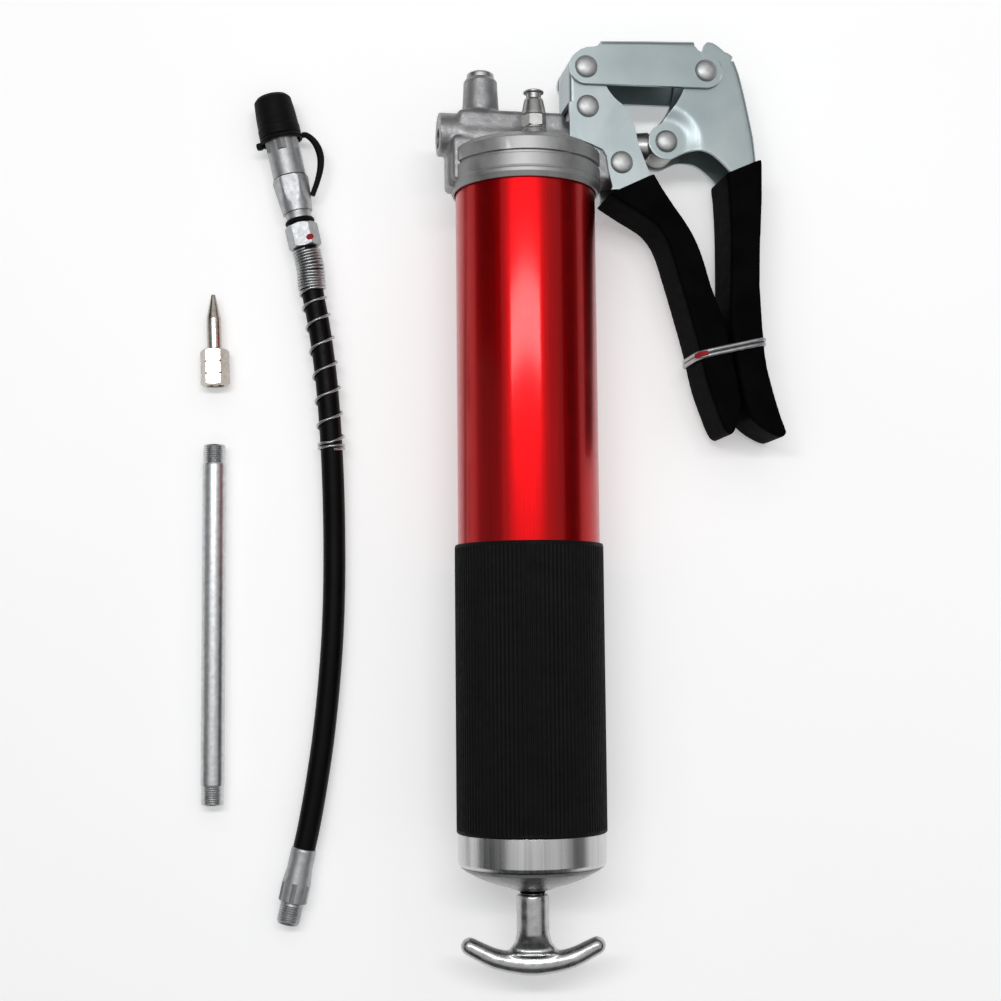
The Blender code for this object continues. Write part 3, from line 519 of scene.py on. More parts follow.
def smooth(points, cuts):
    """A Catmull-Rom line through the points."""
    points = [Vector(p) for p in points]
    ends = [points[0] * 2 - points[1]] + points + [points[-1] * 2 - points[-2]]
    out = []
    for a, b, c, d in zip(ends, ends[1:], ends[2:], ends[3:]):
        for i in range(cuts):
            t = i / cuts
            out.append(0.5 * (2 * b + (c - a) * t + (2 * a - 5 * b + 4 * c - d) * t * t
                              + (3 * b - a - 3 * c + d) * t * t * t))
    out.append(points[-1])
    return [tuple(p) for p in out]


def beside(points, distance):
    """The line moved sideways, to the left of its run."""
    out = []
    for i, p in enumerate(points):
        before = Vector(points[max(i - 1, 0)])
        after = Vector(points[min(i + 1, len(points) - 1)])
        run = (after - before).normalized()
        out.append((p[0] - run.y * distance, p[1] + run.x * distance))
    return out


def distances(points):
    """How far along the line each point is."""
    marks = [0.0]
    for a, b in zip(points, points[1:]):
        marks.append(marks[-1] + (b - a).length)
    return marks


def resample(points, step):
    """Evenly spaced points along a line, ends kept."""
    points = [Vector(p) for p in points]
    marks = distances(points)
    count = max(1, round(marks[-1] / step))
    out = []
    seg = 0
    for k in range(count + 1):
        want = marks[-1] * k / count
        while seg < len(points) - 2 and marks[seg + 1] < want:
            seg += 1
        gap = marks[seg + 1] - marks[seg]
        out.append(points[seg].lerp(points[seg + 1], (want - marks[seg]) / gap if gap else 0.0))
    return out


def sweep(path, section, closed=False, scales=None, up=Vector((0.0, 0.0, 1.0))):
    """Carry a section of (across, up) points along a path, in mm."""
    path = [Vector(p) for p in path]
    bm = bmesh.new()
    rings = []
    count = len(path)
    normal = None
    for i, p in enumerate(path):
        if closed:
            run = (path[(i + 1) % count] - path[i - 1]).normalized()
        else:
            run = (path[min(i + 1, count - 1)] - path[max(i - 1, 0)]).normalized()
        if normal is None:
            normal = (up - run * up.dot(run)).normalized()
        normal = (normal - run * normal.dot(run)).normalized()
        across = run.cross(normal)
        k = 1.0 if scales is None else scales[i]
        rings.append([bm.verts.new((p + across * a * k + normal * b * k) * MM) for a, b in section])
    sides = len(section)
    pairs = list(zip(rings, rings[1:]))
    if closed:
        pairs.append((rings[-1], rings[0]))
    for a, b in pairs:
        for i in range(sides):
            j = (i + 1) % sides
            bm.faces.new((a[i], a[j], b[j], b[i]))
    if not closed:
        bm.faces.new(rings[0][::-1])
        bm.faces.new(rings[-1])
    return bm


def ring_section(radius, sides):
    angles = [2 * math.pi * i / sides for i in range(sides)]
    return [(radius * math.cos(angle), radius * math.sin(angle)) for angle in angles]


def hexagon(radius, low, high, chamfer, bore):
    """A bored hexagon bar with turned chamfers at both ends, as a nut has."""
    flat = radius * math.cos(math.pi / 6)
    turning = [(0.0, high), (flat - 0.1, high), (radius + 0.1, high - chamfer),
               (radius + 0.1, low + chamfer), (flat - 0.1, low), (0.0, low)]
    mesh = as_mesh("hex", can(radius, low, high, 6))
    mesh = carved(mesh, [(turned_tool(turning, 60), ZUP)], "INTERSECT")
    return carved(mesh, [(can(bore, low - 2.0, high + 2.0, 40), ZUP)])


# ---- pressed channels
def pressed(outline, webs, half, bend, wall, dent=None, grid=1.6):
    """A pressed channel: two flat plates of one outline joined by bent webs.
    webs are (first, last) index ranges of the outline; dent(x, y) sets a plate's
    height below half."""
    count = len(outline)
    doubled_area = 0.0
    for i in range(count):
        a, b = outline[i], outline[(i + 1) % count]
        doubled_area += a[0] * b[1] - a[1] * b[0]
    turn = 1.0 if doubled_area > 0 else -1.0

    def inward(i, first, last):
        before = Vector(outline[max(i - 1, first)])
        after = Vector(outline[min(i + 1, last)])
        run = (after - before).normalized()
        return Vector((-run.y, run.x)) * turn

    inner = {}
    for first, last in webs:
        for i in range(first, last + 1):
            inner[i] = inward(i, first, last)
    flat = [Vector(outline[i]) + inner[i] * bend if i in inner else Vector(outline[i])
            for i in range(count)]
    low = Vector((min(p.x for p in flat), min(p.y for p in flat)))
    high = Vector((max(p.x for p in flat), max(p.y for p in flat)))

    def inside(p):
        hit = False
        for i in range(count):
            a, b = flat[i], flat[(i + 1) % count]
            if (a.y > p.y) != (b.y > p.y) and p.x < (b.x - a.x) * (p.y - a.y) / (b.y - a.y) + a.x:
                hit = not hit
        return hit

    def clear(p):
        for i in range(count):
            a, b = flat[i], flat[(i + 1) % count]
            run = b - a
            t = 0.0 if run.length_squared == 0 else (p - a).dot(run) / run.length_squared
            if (a + run * max(0.0, min(1.0, t)) - p).length < 0.6 * grid:
                return False
        return True

    points = list(flat)
    if dent is not None:
        y = low.y
        while y < high.y:
            x = low.x
            while x < high.x:
                p = Vector((x, y))
                if dent(x, y) is not None and inside(p) and clear(p):
                    points.append(p)
                x += grid
            y += grid
    edges_in = [(i, (i + 1) % count) for i in range(count)]
    verts, _, faces, origin, _, _ = delaunay_2d_cdt(points, edges_in, [list(range(count))], 1, 1e-6)
    bm = bmesh.new()

    def depth(p):
        drop = dent(p.x, p.y) if dent is not None else None
        return half - (drop or 0.0)

    sides = {}
    for side in (1.0, -1.0):
        made = [bm.verts.new((p.x * MM, p.y * MM, side * depth(p) * MM)) for p in verts]
        lookup = {}
        for new, olds in enumerate(origin):
            for old in olds:
                if old < count:
                    lookup[old] = made[new]
        sides[side] = lookup
        for face in faces:
            ring = [made[k] for k in face]
            bm.faces.new(ring if side > 0 else ring[::-1])
    for first, last in webs:
        columns = []
        for i in range(first, last + 1):
            p = Vector(outline[i])
            column = [sides[1.0][i]]
            for way, steps in ((1.0, range(1, WEB_CUTS + 1)), (-1.0, range(WEB_CUTS, 0, -1))):
                for k in steps:
                    angle = 0.5 * math.pi * k / WEB_CUTS
                    spot = p + inner[i] * bend * (1 - math.sin(angle))
                    rise = half - bend * (1 - math.cos(angle))
                    column.append(bm.verts.new((spot.x * MM, spot.y * MM, way * rise * MM)))
            column.append(sides[-1.0][i])
            columns.append(column)
        for a, b in zip(columns, columns[1:]):
            for k in range(len(a) - 1):
                bm.faces.new((a[k], b[k], b[k + 1], a[k + 1]))
    bmesh.ops.recalc_face_normals(bm, faces=bm.faces)
    upper = [f for f in bm.faces if f.calc_center_median().z > (half - 3.0) * MM and abs(f.normal.z) > 0.9]
    if upper and upper[0].normal.z < 0:
        bmesh.ops.reverse_faces(bm, faces=bm.faces)
    obj = temp(bm)
    solid = obj.modifiers.new("Solidify", "SOLIDIFY")
    solid.thickness = wall * MM
    solid.offset = -1.0
    edge = obj.modifiers.new("Bevel", "BEVEL")
    edge.width = 0.28 * MM
    edge.segments = 2
    edge.limit_method = "ANGLE"
    edge.angle_limit = math.radians(62)
    return evaluated(obj)


def span(outline, first, last):
    """Index range of the outline points from the point first to the point last."""
    def nearest(spot):
        return min(range(len(outline)), key=lambda i: (Vector(outline[i]) - Vector(spot)).length)
    a, b = nearest(first), nearest(last)
    return (min(a, b), max(a, b))


# Edges of the two grips as they are seen from above
fixed_left = [(32.6, -0.8), (40.7, -5.9), (50.5, -11.7), (54.8, -16.4), (57.4, -21.6),
              (59.9, -29.5), (64.8, -46.8), (69.1, -63.0), (72.5, -78.4), (77.2, -92.1)]
fixed_right = [(51.8, 8.4), (54.2, 3.8), (59.3, -4.0), (64.8, -11.8), (68.8, -18.9), (71.9, -26.9),
               (75.3, -38.8), (80.2, -52.2), (83.7, -68.1), (87.1, -86.3)]
lever_right = [(98.2, 16.6), (97.6, -3.4), (96.6, -19.7), (96.0, -35.8), (96.4, -47.9), (97.6, -67.1),
               (100.2, -79.7), (103.6, -91.7)]
lever_left = [(82.6, 9.8), (83.3, 4.0), (83.9, -10.0), (83.8, -26.0), (83.5, -38.0), (82.9, -46.0),
              (83.2, -56.0), (84.9, -68.1), (88.3, -86.3)]

# Bracket with the fixed handle's core
left_core = beside(smooth(fixed_left[:5], 4), CORE_INSET)
right_core = beside(smooth(fixed_right[:6], 4), -CORE_INSET)
outline = [(16.8, 37.5), (16.8, 50.0)] + arc(PIN_A, 7.0, 165.0, 10.0, 14)
outline += smooth([(30.4, 50.2), (32.4, 44.3), (35.6, 39.8), (39.2, 36.8), (41.9, 33.3), (44.0, 28.3),
                   (45.7, 20.2), (49.5, 10.0)], 5)
outline += right_core[1:] + left_core[::-1]
outline += fillet([(34.4, 2.2), (32.9, 8.7), (32.1, 15.0), (30.6, 17.8), (28.6, 18.6), (25.8, 19.8),
                   (21.7, 21.3), (16.8, 21.9, 0.8), (16.8, 30.0)], 1.5, False)
outline += [(16.8, 37.1)]
spine = span(outline, (16.8, 37.5), outline[6])
handle_web = span(outline, left_core[-1], left_core[1])
bracket_mesh = pressed(outline, [spine, handle_web], PLATE, SHEET_BEND, SHEET)
place("bracket_pressing", bracket_mesh, GUN, "gun", ZINC, "handle_bracket")

# Top link
ax, ay = PIN_A
bx, by = PIN_B
outline = arc(PIN_A, 7.0, 125.0, 270.0, 18) + arc(PIN_B, 7.2, 270.0, 440.0, 20)
outline += smooth([(bx - 1.2, by + 7.7), (bx - 3.0, by + 8.5), (bx - 4.0, by + 9.6)], 3)
top_edge = [(bx - 4.8, by + 12.7), (0.5 * (ax + bx), 0.5 * (ay + by) + 12.3), (ax + 6.7, ay + 11.8)]
outline += top_edge + smooth([(ax + 5.6, ay + 9.4), (ax + 3.4, ay + 8.6), (ax + 0.6, ay + 8.3),
                              (ax - 2.2, ay + 7.2)], 3)
link_mesh = pressed(outline, [span(outline, top_edge[0], top_edge[2])], LINK_HALF, LINK_BEND, LINK_SHEET)
place("top_link_pressing", link_mesh, GUN, "link", ZINC, "top_link")


# Lever, with its plates set inwards round the plunger's pin
def joggle(x, y):
    """How far the plate is set in at a point; None where it needs no extra grid points."""
    d = math.hypot(x - PIN_C[0], y - PIN_C[1])
    if d > 17.5:
        return 0.0 if y > 12.0 else None
    t = max(0.0, min(1.0, (15.0 - d) / 6.6))
    return JOGGLE_DEPTH * t * t * (3 - 2 * t)


lever_core_out = beside(smooth(lever_right[:3], 4), -CORE_INSET)
lever_core_in = beside(smooth(lever_left[:4], 4), CORE_INSET)
corner = smooth([(74.4, 64.0), (76.0, 65.3), (78.6, 64.8), (81.2, 63.1), (83.0, 61.6), (85.0, 60.8),
                 (86.6, 59.5)], 4)
outer = smooth([(87.5, 58.2), (88.6, 55.4), (89.7, 52.0), (91.5, 44.5), (93.4, 35.0), (95.2, 25.3)], 3)
outline = corner + outer + lever_core_out + lever_core_in[::-1]
outline += smooth([(84.6, 10.8), (81.0, 14.5), (77.0, 17.7), (72.9, 19.2), (67.5, 19.0), (62.4, 16.7)], 4)
outline += arc(PIN_C, 7.5, 288.0, 132.0, 22)
outline += smooth([(55.9, 30.4), (59.0, 34.5), (62.5, 39.4), (65.0, 44.2), (66.4, 50.0)], 4)
outline += arc(PIN_B, 7.5, 165.0, 100.0, 8) + [(73.6, 61.2)]
lever_web = span(outline, outer[0], lever_core_out[-1])
lever_mesh = pressed(outline, [lever_web], PLATE, SHEET_BEND, SHEET, joggle, 1.2)
place("lever_pressing", lever_mesh, GUN, "lever", ZINC, "lever_channel")


# ---- dipped grips
def grip(name, outline, body, node):
    """A dipped vinyl grip of one outline, with soft rims."""
    shape = prism(outline, -GRIP_HALF - 0.15, GRIP_HALF + 0.15)
    rims = [e for e in shape.edges if abs(e.verts[0].co.z - e.verts[1].co.z) < 1e-7]
    bmesh.ops.bevel(shape, geom=rims, offset=3.0 * MM, segments=4, profile=0.5, affect="EDGES",
                    clamp_overlap=True)
    mesh = melted([(shape, ZUP)], 0.8, 12)
    return place(name, mesh, GUN, body, VINYL, node, 60.0)


fixed_tip = smooth([(78.6, -95.6), (80.2, -98.2), (81.8, -99.2), (83.3, -98.6), (85.2, -94.6)], 4)
lever_tip = smooth([(90.6, -92.6), (94.6, -96.0), (99.0, -98.6), (102.6, -100.0), (105.2, -99.6),
                    (105.9, -97.8)], 4)
fixed_outline = smooth(fixed_left, 6) + fixed_tip + smooth(fixed_right, 6)[::-1]
lever_outline = smooth(lever_left, 6) + lever_tip + smooth(lever_right, 6)[::-1]
grip("fixed_grip_skin", fixed_outline, "gun", "fixed_handle_grip")
grip("lever_grip_skin", lever_outline, "lever", "lever_grip")


# ---- rivets
RIVET_HEAD_R = 4.6
RIVET_SHANK_R = 3.0
RIVET_RIM = 0.35


def rivet(name, spot, half, body, node, height=2.2):
    """Two round heads on one shank; each head has a rim flat on its plate."""
    head = [(0.0, half + height)]
    for k in range(1, 9):
        angle = 0.5 * math.pi * k / 9
        rise = half + RIVET_RIM + (height - RIVET_RIM) * math.cos(angle)
        head.append((RIVET_HEAD_R * math.sin(angle) ** 0.92, rise))
    head += [(RIVET_HEAD_R, half + 0.3), (RIVET_HEAD_R + 0.12, half + 0.05), (RIVET_SHANK_R, half - 0.1)]
    profile = head + [(r, -h) for r, h in head[::-1]]
    return piece(name, revolve(profile, 40), GUN @ shift(*spot, 0.0), body, RIVET, node)


rivet("rivet_head_link", PIN_A, LINK_HALF, "gun", "link_rivet")
rivet("rivet_head_lever", PIN_B, LINK_HALF, "lever", "lever_link_rivet")
rivet("rivet_head_plunger", PIN_C, PLATE - JOGGLE_DEPTH, "lever", "lever_plunger_rivet", 2.3)
rivet("rivet_head_upper", RIVET_D, PLATE, "gun", "bracket_rivet_upper")
rivet("rivet_head_lower", RIVET_E, PLATE, "gun", "bracket_rivet_lower")

# ---- head casting
BARREL = GUN @ ALONG_Y
profile = [(0.0, 20.4), (22.0, 20.0), (27.0, 19.0, 1.0), (29.5, 17.5, 0.8), (30.9, 16.2, 0.5),
           (30.9, 11.0, 0.3), (29.8, 10.7, 0.1), (29.8, 9.8, 0.1), (30.9, 9.5, 0.3), (30.9, 4.7, 0.3),
           (30.7, 4.1, 0.3), (30.9, 3.5, 0.3), (30.9, 2.2, 0.3), (29.9, 0.1, 0.2), (29.2, 0.1, 0.1),
           (28.9, 0.6), (28.9, 12.0), (0.0, 12.0)]
lathe("head_collar", profile, BARREL, "gun", COLLAR, "head_casting", 128)

pump = shift(0.0, PUMP_Y, 0.0) @ ALONG_X
bleed = shift(0.0, 0.0, BLEEDER_Z) @ ALONG_Y
stub = shift(STUB_X, 0.0, 0.0) @ ALONG_Y
shapes = [(can(9.3, -27.0, 41.0), pump),
          (brick((-29.0, 13.0, -8.8), (15.8, 33.6, 8.8), 2.4), ZUP),
          (can(8.9, -36.0, -20.0), shift(0.0, 24.4, 0.0) @ ALONG_X),
          (brick((-32.9, 1.0, -6.6), (-24.0, 20.0, 6.6), 2.0), ZUP),
          (brick((-31.6, 3.0, -9.6), (-22.0, 22.0, 9.6), 2.0), ZUP),
          (can(8.0, 14.0, 37.0, 48, 7.5), stub),
          (brick((19.2, 22.0, -9.3), (31.0, 41.8, 9.3), 1.4), ZUP),
          (brick((25.6, 5.6, -9.3), (43.8, 22.0, 9.3), 1.6), ZUP),
          (can(5.9, 14.0, 21.8, 40, 5.1), bleed),
          (can(27.0, 13.0, 20.3, 64, 21.0), ALONG_Y)]
body_mesh = melted(shapes, 0.62, 5)
body_mesh = carved(body_mesh, [(can(4.2, -40.0, -26.0), pump), (can(2.2, -30.0, -12.0, 24), pump),
                               (can(5.05, -14.0, 50.0), pump), (can(7.0, 32.0, 50.0), pump),
                               (can(30.0, -5.0, 13.2, 96), ALONG_Y)])
place("head_body", body_mesh, GUN, "gun", CAST, "head_casting", 50.0)
profile = [(4.3, 48.4), (5.8, 48.4, 0.4), (6.9, 47.0, 0.9), (7.1, 42.0, 1.0), (7.5, 36.0), (7.5, 30.0),
           (4.3, 30.0)]
lathe("outlet_stub", profile, GUN @ stub, "gun", CAST, "head_casting")
profile = [(4.6, 51.0, 0.5), (5.6, 50.2, 0.7), (5.6, 48.5, 0.1), (4.0, 48.5), (4.0, 43.0), (3.2, 43.0),
           (3.2, 50.8, 0.3)]
lathe("outlet_insert", profile, GUN @ stub, "gun", STEEL, "outlet_adapter")

# ---- air bleed valve
mesh = hexagon(5.1, 22.4, 27.2, 0.5, 1.4)
place("bleeder_hexagon", mesh, GUN @ bleed @ SIXTH, "gun", STEEL, "bleeder_body")
profile = [(1.3, 32.3), (3.2, 32.3), (3.2, 34.0), (3.6, 34.0, 0.2), (3.9, 33.2, 0.4), (4.4, 30.8, 1.0),
           (5.0, 27.6, 0.3), (4.6, 27.1, 0.1), (1.3, 27.1)]
lathe("bleeder_cone", profile, GUN @ bleed, "gun", STEEL, "bleeder_body", 48)
profile = [(1.3, 22.4), (4.9, 22.4, 0.2), (4.9, 21.8, 0.1), (1.3, 21.8)]
lathe("bleeder_flange", profile, GUN @ bleed, "gun", STEEL, "bleeder_body", 48)
profile = [(0.0, 37.6), (3.4, 37.5, 0.3), (4.1, 37.1, 0.3), (4.1, 36.5, 0.2), (3.0, 36.2, 0.2),
           (3.0, 34.1, 0.2), (1.0, 34.1), (1.0, 18.5), (0.0, 18.5)]
lathe("bleeder_button", profile, GUN @ bleed, "bleeder", STEEL, "bleeder_knob", 48)

# ---- pump plunger
crosshead = melted([(can(4.75, -9.0, 58.0), pump), (can(6.6, -7.6, 7.6), shift(*PIN_C, 0.0)),
                    (can(4.75, 38.0, 52.0, 48, 6.2), pump)], 0.5, 3)
slot = [(can(SLOT_R, -10.0, 10.0, 40), shift(PIN_C[0], PIN_C[1] + reach, 0.0))
        for reach in (-SLOT_REACH, SLOT_REACH)]
slot.append((brick((PIN_C[0] - SLOT_R, PIN_C[1] - SLOT_REACH, -10.0),
                   (PIN_C[0] + SLOT_R, PIN_C[1] + SLOT_REACH, 10.0)), ZUP))
crosshead = carved(crosshead, slot)
place("plunger_and_crosshead", crosshead, GUN, "plunger", STEEL, "pump_plunger", 50.0)

# ---- follower spring inside the barrel
spring_turns = [-19.6, -22.0] + [-22.0 - 30.8 * k for k in range(1, 9)] + [-270.4]
coil = []
for near, far in zip(spring_turns, spring_turns[1:]):
    for i in range(SPRING_STEPS):
        angle = 2.0 * math.pi * i / SPRING_STEPS
        height = near + (far - near) * i / SPRING_STEPS
        coil.append(Vector((SPRING_R * math.cos(angle), SPRING_R * math.sin(angle), height)))
coil.append(Vector((SPRING_R, 0.0, spring_turns[-1])))
spring = piece("follower_spring_coils", sweep(coil, ring_section(SPRING_WIRE_R, 8)), BARREL, "gun",
               SPRING, "follower_spring", 60.0)
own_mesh(spring)

# ---- barrel, sleeve and end cap
profile = [(BARREL_R, 10.0, 0.3), (BARREL_R, -268.0, 0.3), (BARREL_BORE, -268.0, 0.3),
           (BARREL_BORE, 10.0, 0.3)]
lathe("barrel_skin", profile, BARREL, "gun", RED, "barrel_tube", 160)


def ribs(r, h, angle):
    """Lengthwise ribs on the sleeve's outside, short of its plain ends."""
    if r < 29.6 or h > -145.4 or h < -256.6:
        return r
    wave = math.cos(angle * RIB_COUNT)
    return r - RIB_DEPTH + RIB_DEPTH * max(-0.6, min(1.0, wave * 1.6))


profile = [(29.7, SLEEVE_TOP, 0.3), (SLEEVE_R, -144.6, 0.2), (SLEEVE_R, -145.2), (SLEEVE_R, -145.6),
           (SLEEVE_R, -256.4), (SLEEVE_R, -256.8), (SLEEVE_R, -257.6, 0.2), (29.8, SLEEVE_END, 0.1),
           (28.7, SLEEVE_END), (28.7, SLEEVE_TOP)]
lathe("sleeve_skin", profile, BARREL, "gun", SLEEVE, "barrel_grip_sleeve", 896, ribs, 50.0)
profile = [(29.4, -258.1, 0.2), (29.4, -269.6, 0.9), (28.4, -271.4, 0.8), (26.6, -272.8, 1.4),
           (21.1, -275.7, 3.0), (15.5, -277.8, 3.0), (9.9, -279.4, 0.8), (7.4, -280.5, 0.4),
           (5.3, -280.5), (5.3, -278.4), (15.0, -276.2), (25.4, -271.6), (27.0, -268.4), (28.7, -268.4),
           (28.7, -258.1)]
lathe("cap_shell", profile, BARREL, "gun", TURNED, "end_cap", 128)
profile = [(5.0, -276.6), (5.0, -280.2), (5.0, -281.9, 0.4), (4.2, -281.9), (4.2, -276.6)]
lathe("bushing_skin", profile, BARREL, "gun", VINYL, "rod_bushing", 48)

# ---- rod and T-handle
profile = [(0.0, -7.0), (3.9, -7.0, 0.4), (3.9, -300.0, 0.3), (0.0, -300.0)]
lathe("rod_skin", profile, BARREL, "follower_pull", STEEL, "follower_rod", 48)
line = smooth([(-25.2, -302.5, 0.0), (-14.0, -307.6, 0.0), (0.0, -309.5, 0.0), (14.0, -307.6, 0.0),
               (25.2, -302.5, 0.0)], 8)
last = len(line) - 1
sizes = [0.80 + 0.24 * (1 - abs(2 * i / last - 1)) ** 1.1 for i in range(last + 1)]
profile = [(0.0, -282.2), (6.2, -282.2), (6.5, -282.6), (6.5, -297.5), (7.4, -301.0), (9.6, -303.8),
           (13.6, -305.4), (6.0, -309.6), (0.0, -309.6)]
flare = revolve(profile, 56)
for vert in flare.verts:
    if vert.co.z < -0.299:
        vert.co.y *= max(0.36, 1.0 - 0.14 * (-299.0 - vert.co.z / MM))
shapes = [(sweep(line, ring_section(4.5, 28), scales=sizes), ZUP), (flare, ALONG_Y)]
for x in (-25.1, 25.1):
    ball = bmesh.new()
    bmesh.ops.create_uvsphere(ball, u_segments=28, v_segments=18, radius=3.6 * MM)
    shapes.append((ball, shift(x, -302.5, 0.0)))
handle_mesh = melted(shapes, 0.5, 10)
handle_mesh = carved(handle_mesh, [(can(4.2, -300.4, -278.0), ALONG_Y)])
level = GUN @ Matrix.Rotation(-ROLL, 4, "Y")
place("t_handle_casting", handle_mesh, level, "follower_pull", HANDLE, "t_handle", 50.0)

# ---- band on the handles
low = Vector((68.9, -67.0, 0.0))
high = Vector((98.1, -60.4, 0.0))


def round_both_grips(offset, share_from=0.0, share_to=1.0, count=72, swell=0.0):
    """Points on a rounded loop round the pair of handles."""
    middle = 0.5 * (low + high)
    half = 0.5 * (high - low)
    out = []
    for i in range(count):
        angle = 2 * math.pi * (share_from + (share_to - share_from) * i / count)
        across = math.copysign(abs(math.cos(angle)) ** 0.42, math.cos(angle))
        depth = math.copysign(abs(math.sin(angle)) ** 0.30, math.sin(angle))
        spot = middle + half * across * (1.0 + swell / half.length)
        out.append((spot.x, spot.y + offset, depth * (GRIP_HALF + 1.0 + swell)))
    return out


def tied(name, band, finish, replaces=""):
    """A piece of the tie on the gun's body, with a mesh of its own."""
    obj = piece(name, band, GUN, "gun", finish, replaces, 60.0)
    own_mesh(obj)


for k, offset in enumerate((-0.95, 0.95)):
    strand = sweep(round_both_grips(offset), ring_section(0.85, 12), True)
    tied(f"tie_strand_{k + 1}", strand, TIE, "handle_tie")
tied("tie_red_mark", sweep(round_both_grips(0.0, 0.33, 0.46, 16, 0.05), ring_section(1.3, 12)), TIE_MARK)

# ---- hose assembly
HOSE_START = Vector((-107.36, 50.05, 9.3))
HOSE_AT = ROOT @ shift(*HOSE_START) @ Matrix.Rotation(HOSE_TILT, 4, "Z") @ ALONG_Y


def down(profile):
    """The profile with its heights turned round, for pieces that run away from their frame."""
    return [(p[0], -p[1], *p[2:]) for p in profile]


profile = down([(0.0, 0.0), (6.4, 0.0, 0.9), (7.9, 1.6, 1.0), (8.5, 8.0), (8.7, 13.6, 0.3), (8.9, 14.2, 0.3),
                (8.9, 18.2, 0.6), (6.8, 18.2, 0.3), (6.8, 3.0), (0.0, 3.0)])
lathe("dust_cap_skin", profile, HOSE_AT, "cap", SLEEVE, "dust_cap", 56)
profile = down([(4.4, 3.6), (5.4, 3.6, 0.3), (6.3, 5.0, 0.4), (6.3, 18.6), (7.0, 18.6), (7.0, 36.0, 0.3),
                (3.4, 36.0), (3.4, 12.0), (4.4, 10.0)])
lathe("coupler_nose_sleeve", profile, HOSE_AT, "hose_set", PLATED, "coupler_nose", 56)
place("coupler_front_hexagon", hexagon(7.85, -25.2, -19.3, 0.7, 6.5), HOSE_AT, "hose_set", PLATED,
      "coupler_nose")
taper = down([(0.0, 36.3), (7.1, 36.3), (7.75, 37.4), (6.75, 48.0), (6.35, 51.6), (0.0, 51.6)])
body_mesh = as_mesh("bar", can(7.75, -51.6, -36.3, 6))
body_mesh = carved(body_mesh, [(turned_tool(taper, 72), ZUP)], "INTERSECT")
body_mesh = carved(body_mesh, [(can(5.4, -54.6, -50.6), ZUP)], "UNION")
place("coupler_long_body", body_mesh, HOSE_AT @ SIXTH, "hose_set", PLATED, "coupler_body")
profile = down([(3.4, 54.8), (5.9, 54.8, 0.4), (6.35, 55.8, 0.6), (5.9, 56.8, 0.4), (3.4, 56.8)])
lathe("coupler_o_ring", profile, HOSE_AT, "hose_set", SLEEVE, "coupler_seal_ring", 56)
place("hose_nut_hexagon", hexagon(7.0, -67.3, -57.1, 0.8, 3.4), HOSE_AT @ SIXTH, "hose_set", PLATED,
      "hose_nut")
dab = bmesh.new()
bmesh.ops.create_uvsphere(dab, u_segments=20, v_segments=12, radius=1.6 * MM)
bmesh.ops.scale(dab, verts=dab.verts, vec=(1.0, 0.22, 0.8))
piece("nut_paint_dab", dab, HOSE_AT @ shift(3.1, -6.0, -64.4), "hose_set", NUT_MARK)

away = Vector((math.sin(HOSE_TILT), -math.cos(HOSE_TILT), 0.0))
route = [tuple(HOSE_START + away * 67.6), tuple(HOSE_START + away * 76.3), (-90.0, -33.5, 8.6),
         (-87.0, -50.3, 8.0), (-84.2, -71.5, 7.8), (-82.5, -93.0, 7.2), (-81.5, -115.0, 6.0),
         (-81.1, -138.0, 5.0), (-81.2, -160.0, 4.8), (-82.0, -181.0, 4.8), (-83.6, -202.0, 4.8),
         (-85.9, -223.0, 4.9), (-88.9, -243.0, 5.3), (-91.4, -257.0, 5.9), (-92.9, -264.0, 6.3),
         (-93.35, -266.0, 6.4)]
lay = resample(smooth(route, 12), 2.0)
marks = distances(lay)
hose_skin = piece("hose_skin", sweep(lay, ring_section(HOSE_R, 32)), ROOT, "hose_set", HOSE,
                  "hose", 60.0)


def along_hose(distance):
    """The point that far down the hose, and the hose's direction there."""
    for i in range(len(marks) - 1):
        if marks[i + 1] >= distance:
            share = (distance - marks[i]) / (marks[i + 1] - marks[i])
            return lay[i].lerp(lay[i + 1], share), (lay[i + 1] - lay[i]).normalized()
    return lay[-1], (lay[-1] - lay[-2]).normalized()


stations = [0.9 + 1.2 * i for i in range(15)]
stations += [23.3, 31.4, 41.7, 52.4, 63.1, 73.8, 83.4, 85.0, 86.4]
coil = []
for first, last in zip(stations, stations[1:]):
    for i in range(24):
        spot, run = along_hose(first + (last - first) * i / 24)
        across = run.cross(Vector((0.0, 0.0, 1.0))).normalized()
        upward = across.cross(run)
        angle = math.pi * (0.5 - 2 * i / 24)
        reach = 5.45 if first < 17.0 else 5.3
        coil.append(spot + reach * (across * math.cos(angle) + upward * math.sin(angle)))
piece("guard_spring_coils", sweep(coil, ring_section(0.6, 8)), ROOT, "hose_set", SPRING,
      "hose_guard_spring", 60.0)

END_AT = ROOT @ shift(-93.42, -266.3, 6.5) @ Matrix.Rotation(-END_TILT, 4, "Z") @ ALONG_Y
threads = [(4.4 + 0.42 * (k % 2), 22.9 + 0.46 * k, 0.08) for k in range(1, 17)]
profile = down([(2.4, 0.0), (5.0, 0.0, 0.3), (5.2, 1.0, 0.2), (5.2, 8.5, 0.5), (5.9, 13.9, 0.3),
                (5.9, 22.0, 0.3), (4.4, 22.4, 0.2), *threads, (4.1, 31.2, 0.2), (2.4, 31.2)])
lathe("end_fitting_body", profile, END_AT, "hose_set", PLATED, "hose_end_fitting", 56)
place("end_fitting_hexagon", hexagon(6.4, -22.0, -13.8, 0.7, 5.0), END_AT, "hose_set", PLATED,
      "hose_end_fitting")
strap_line = smooth([(9.0, 0.0, -19.0), (10.9, 0.0, -19.5), (13.2, 0.0, -22.4), (14.5, 0.0, -26.4),
                     (14.6, 0.0, -30.6), (13.4, 0.0, -35.2), (11.2, 0.0, -39.8), (8.8, 0.0, -43.8),
                     (7.6, 0.0, -45.6)], 6)
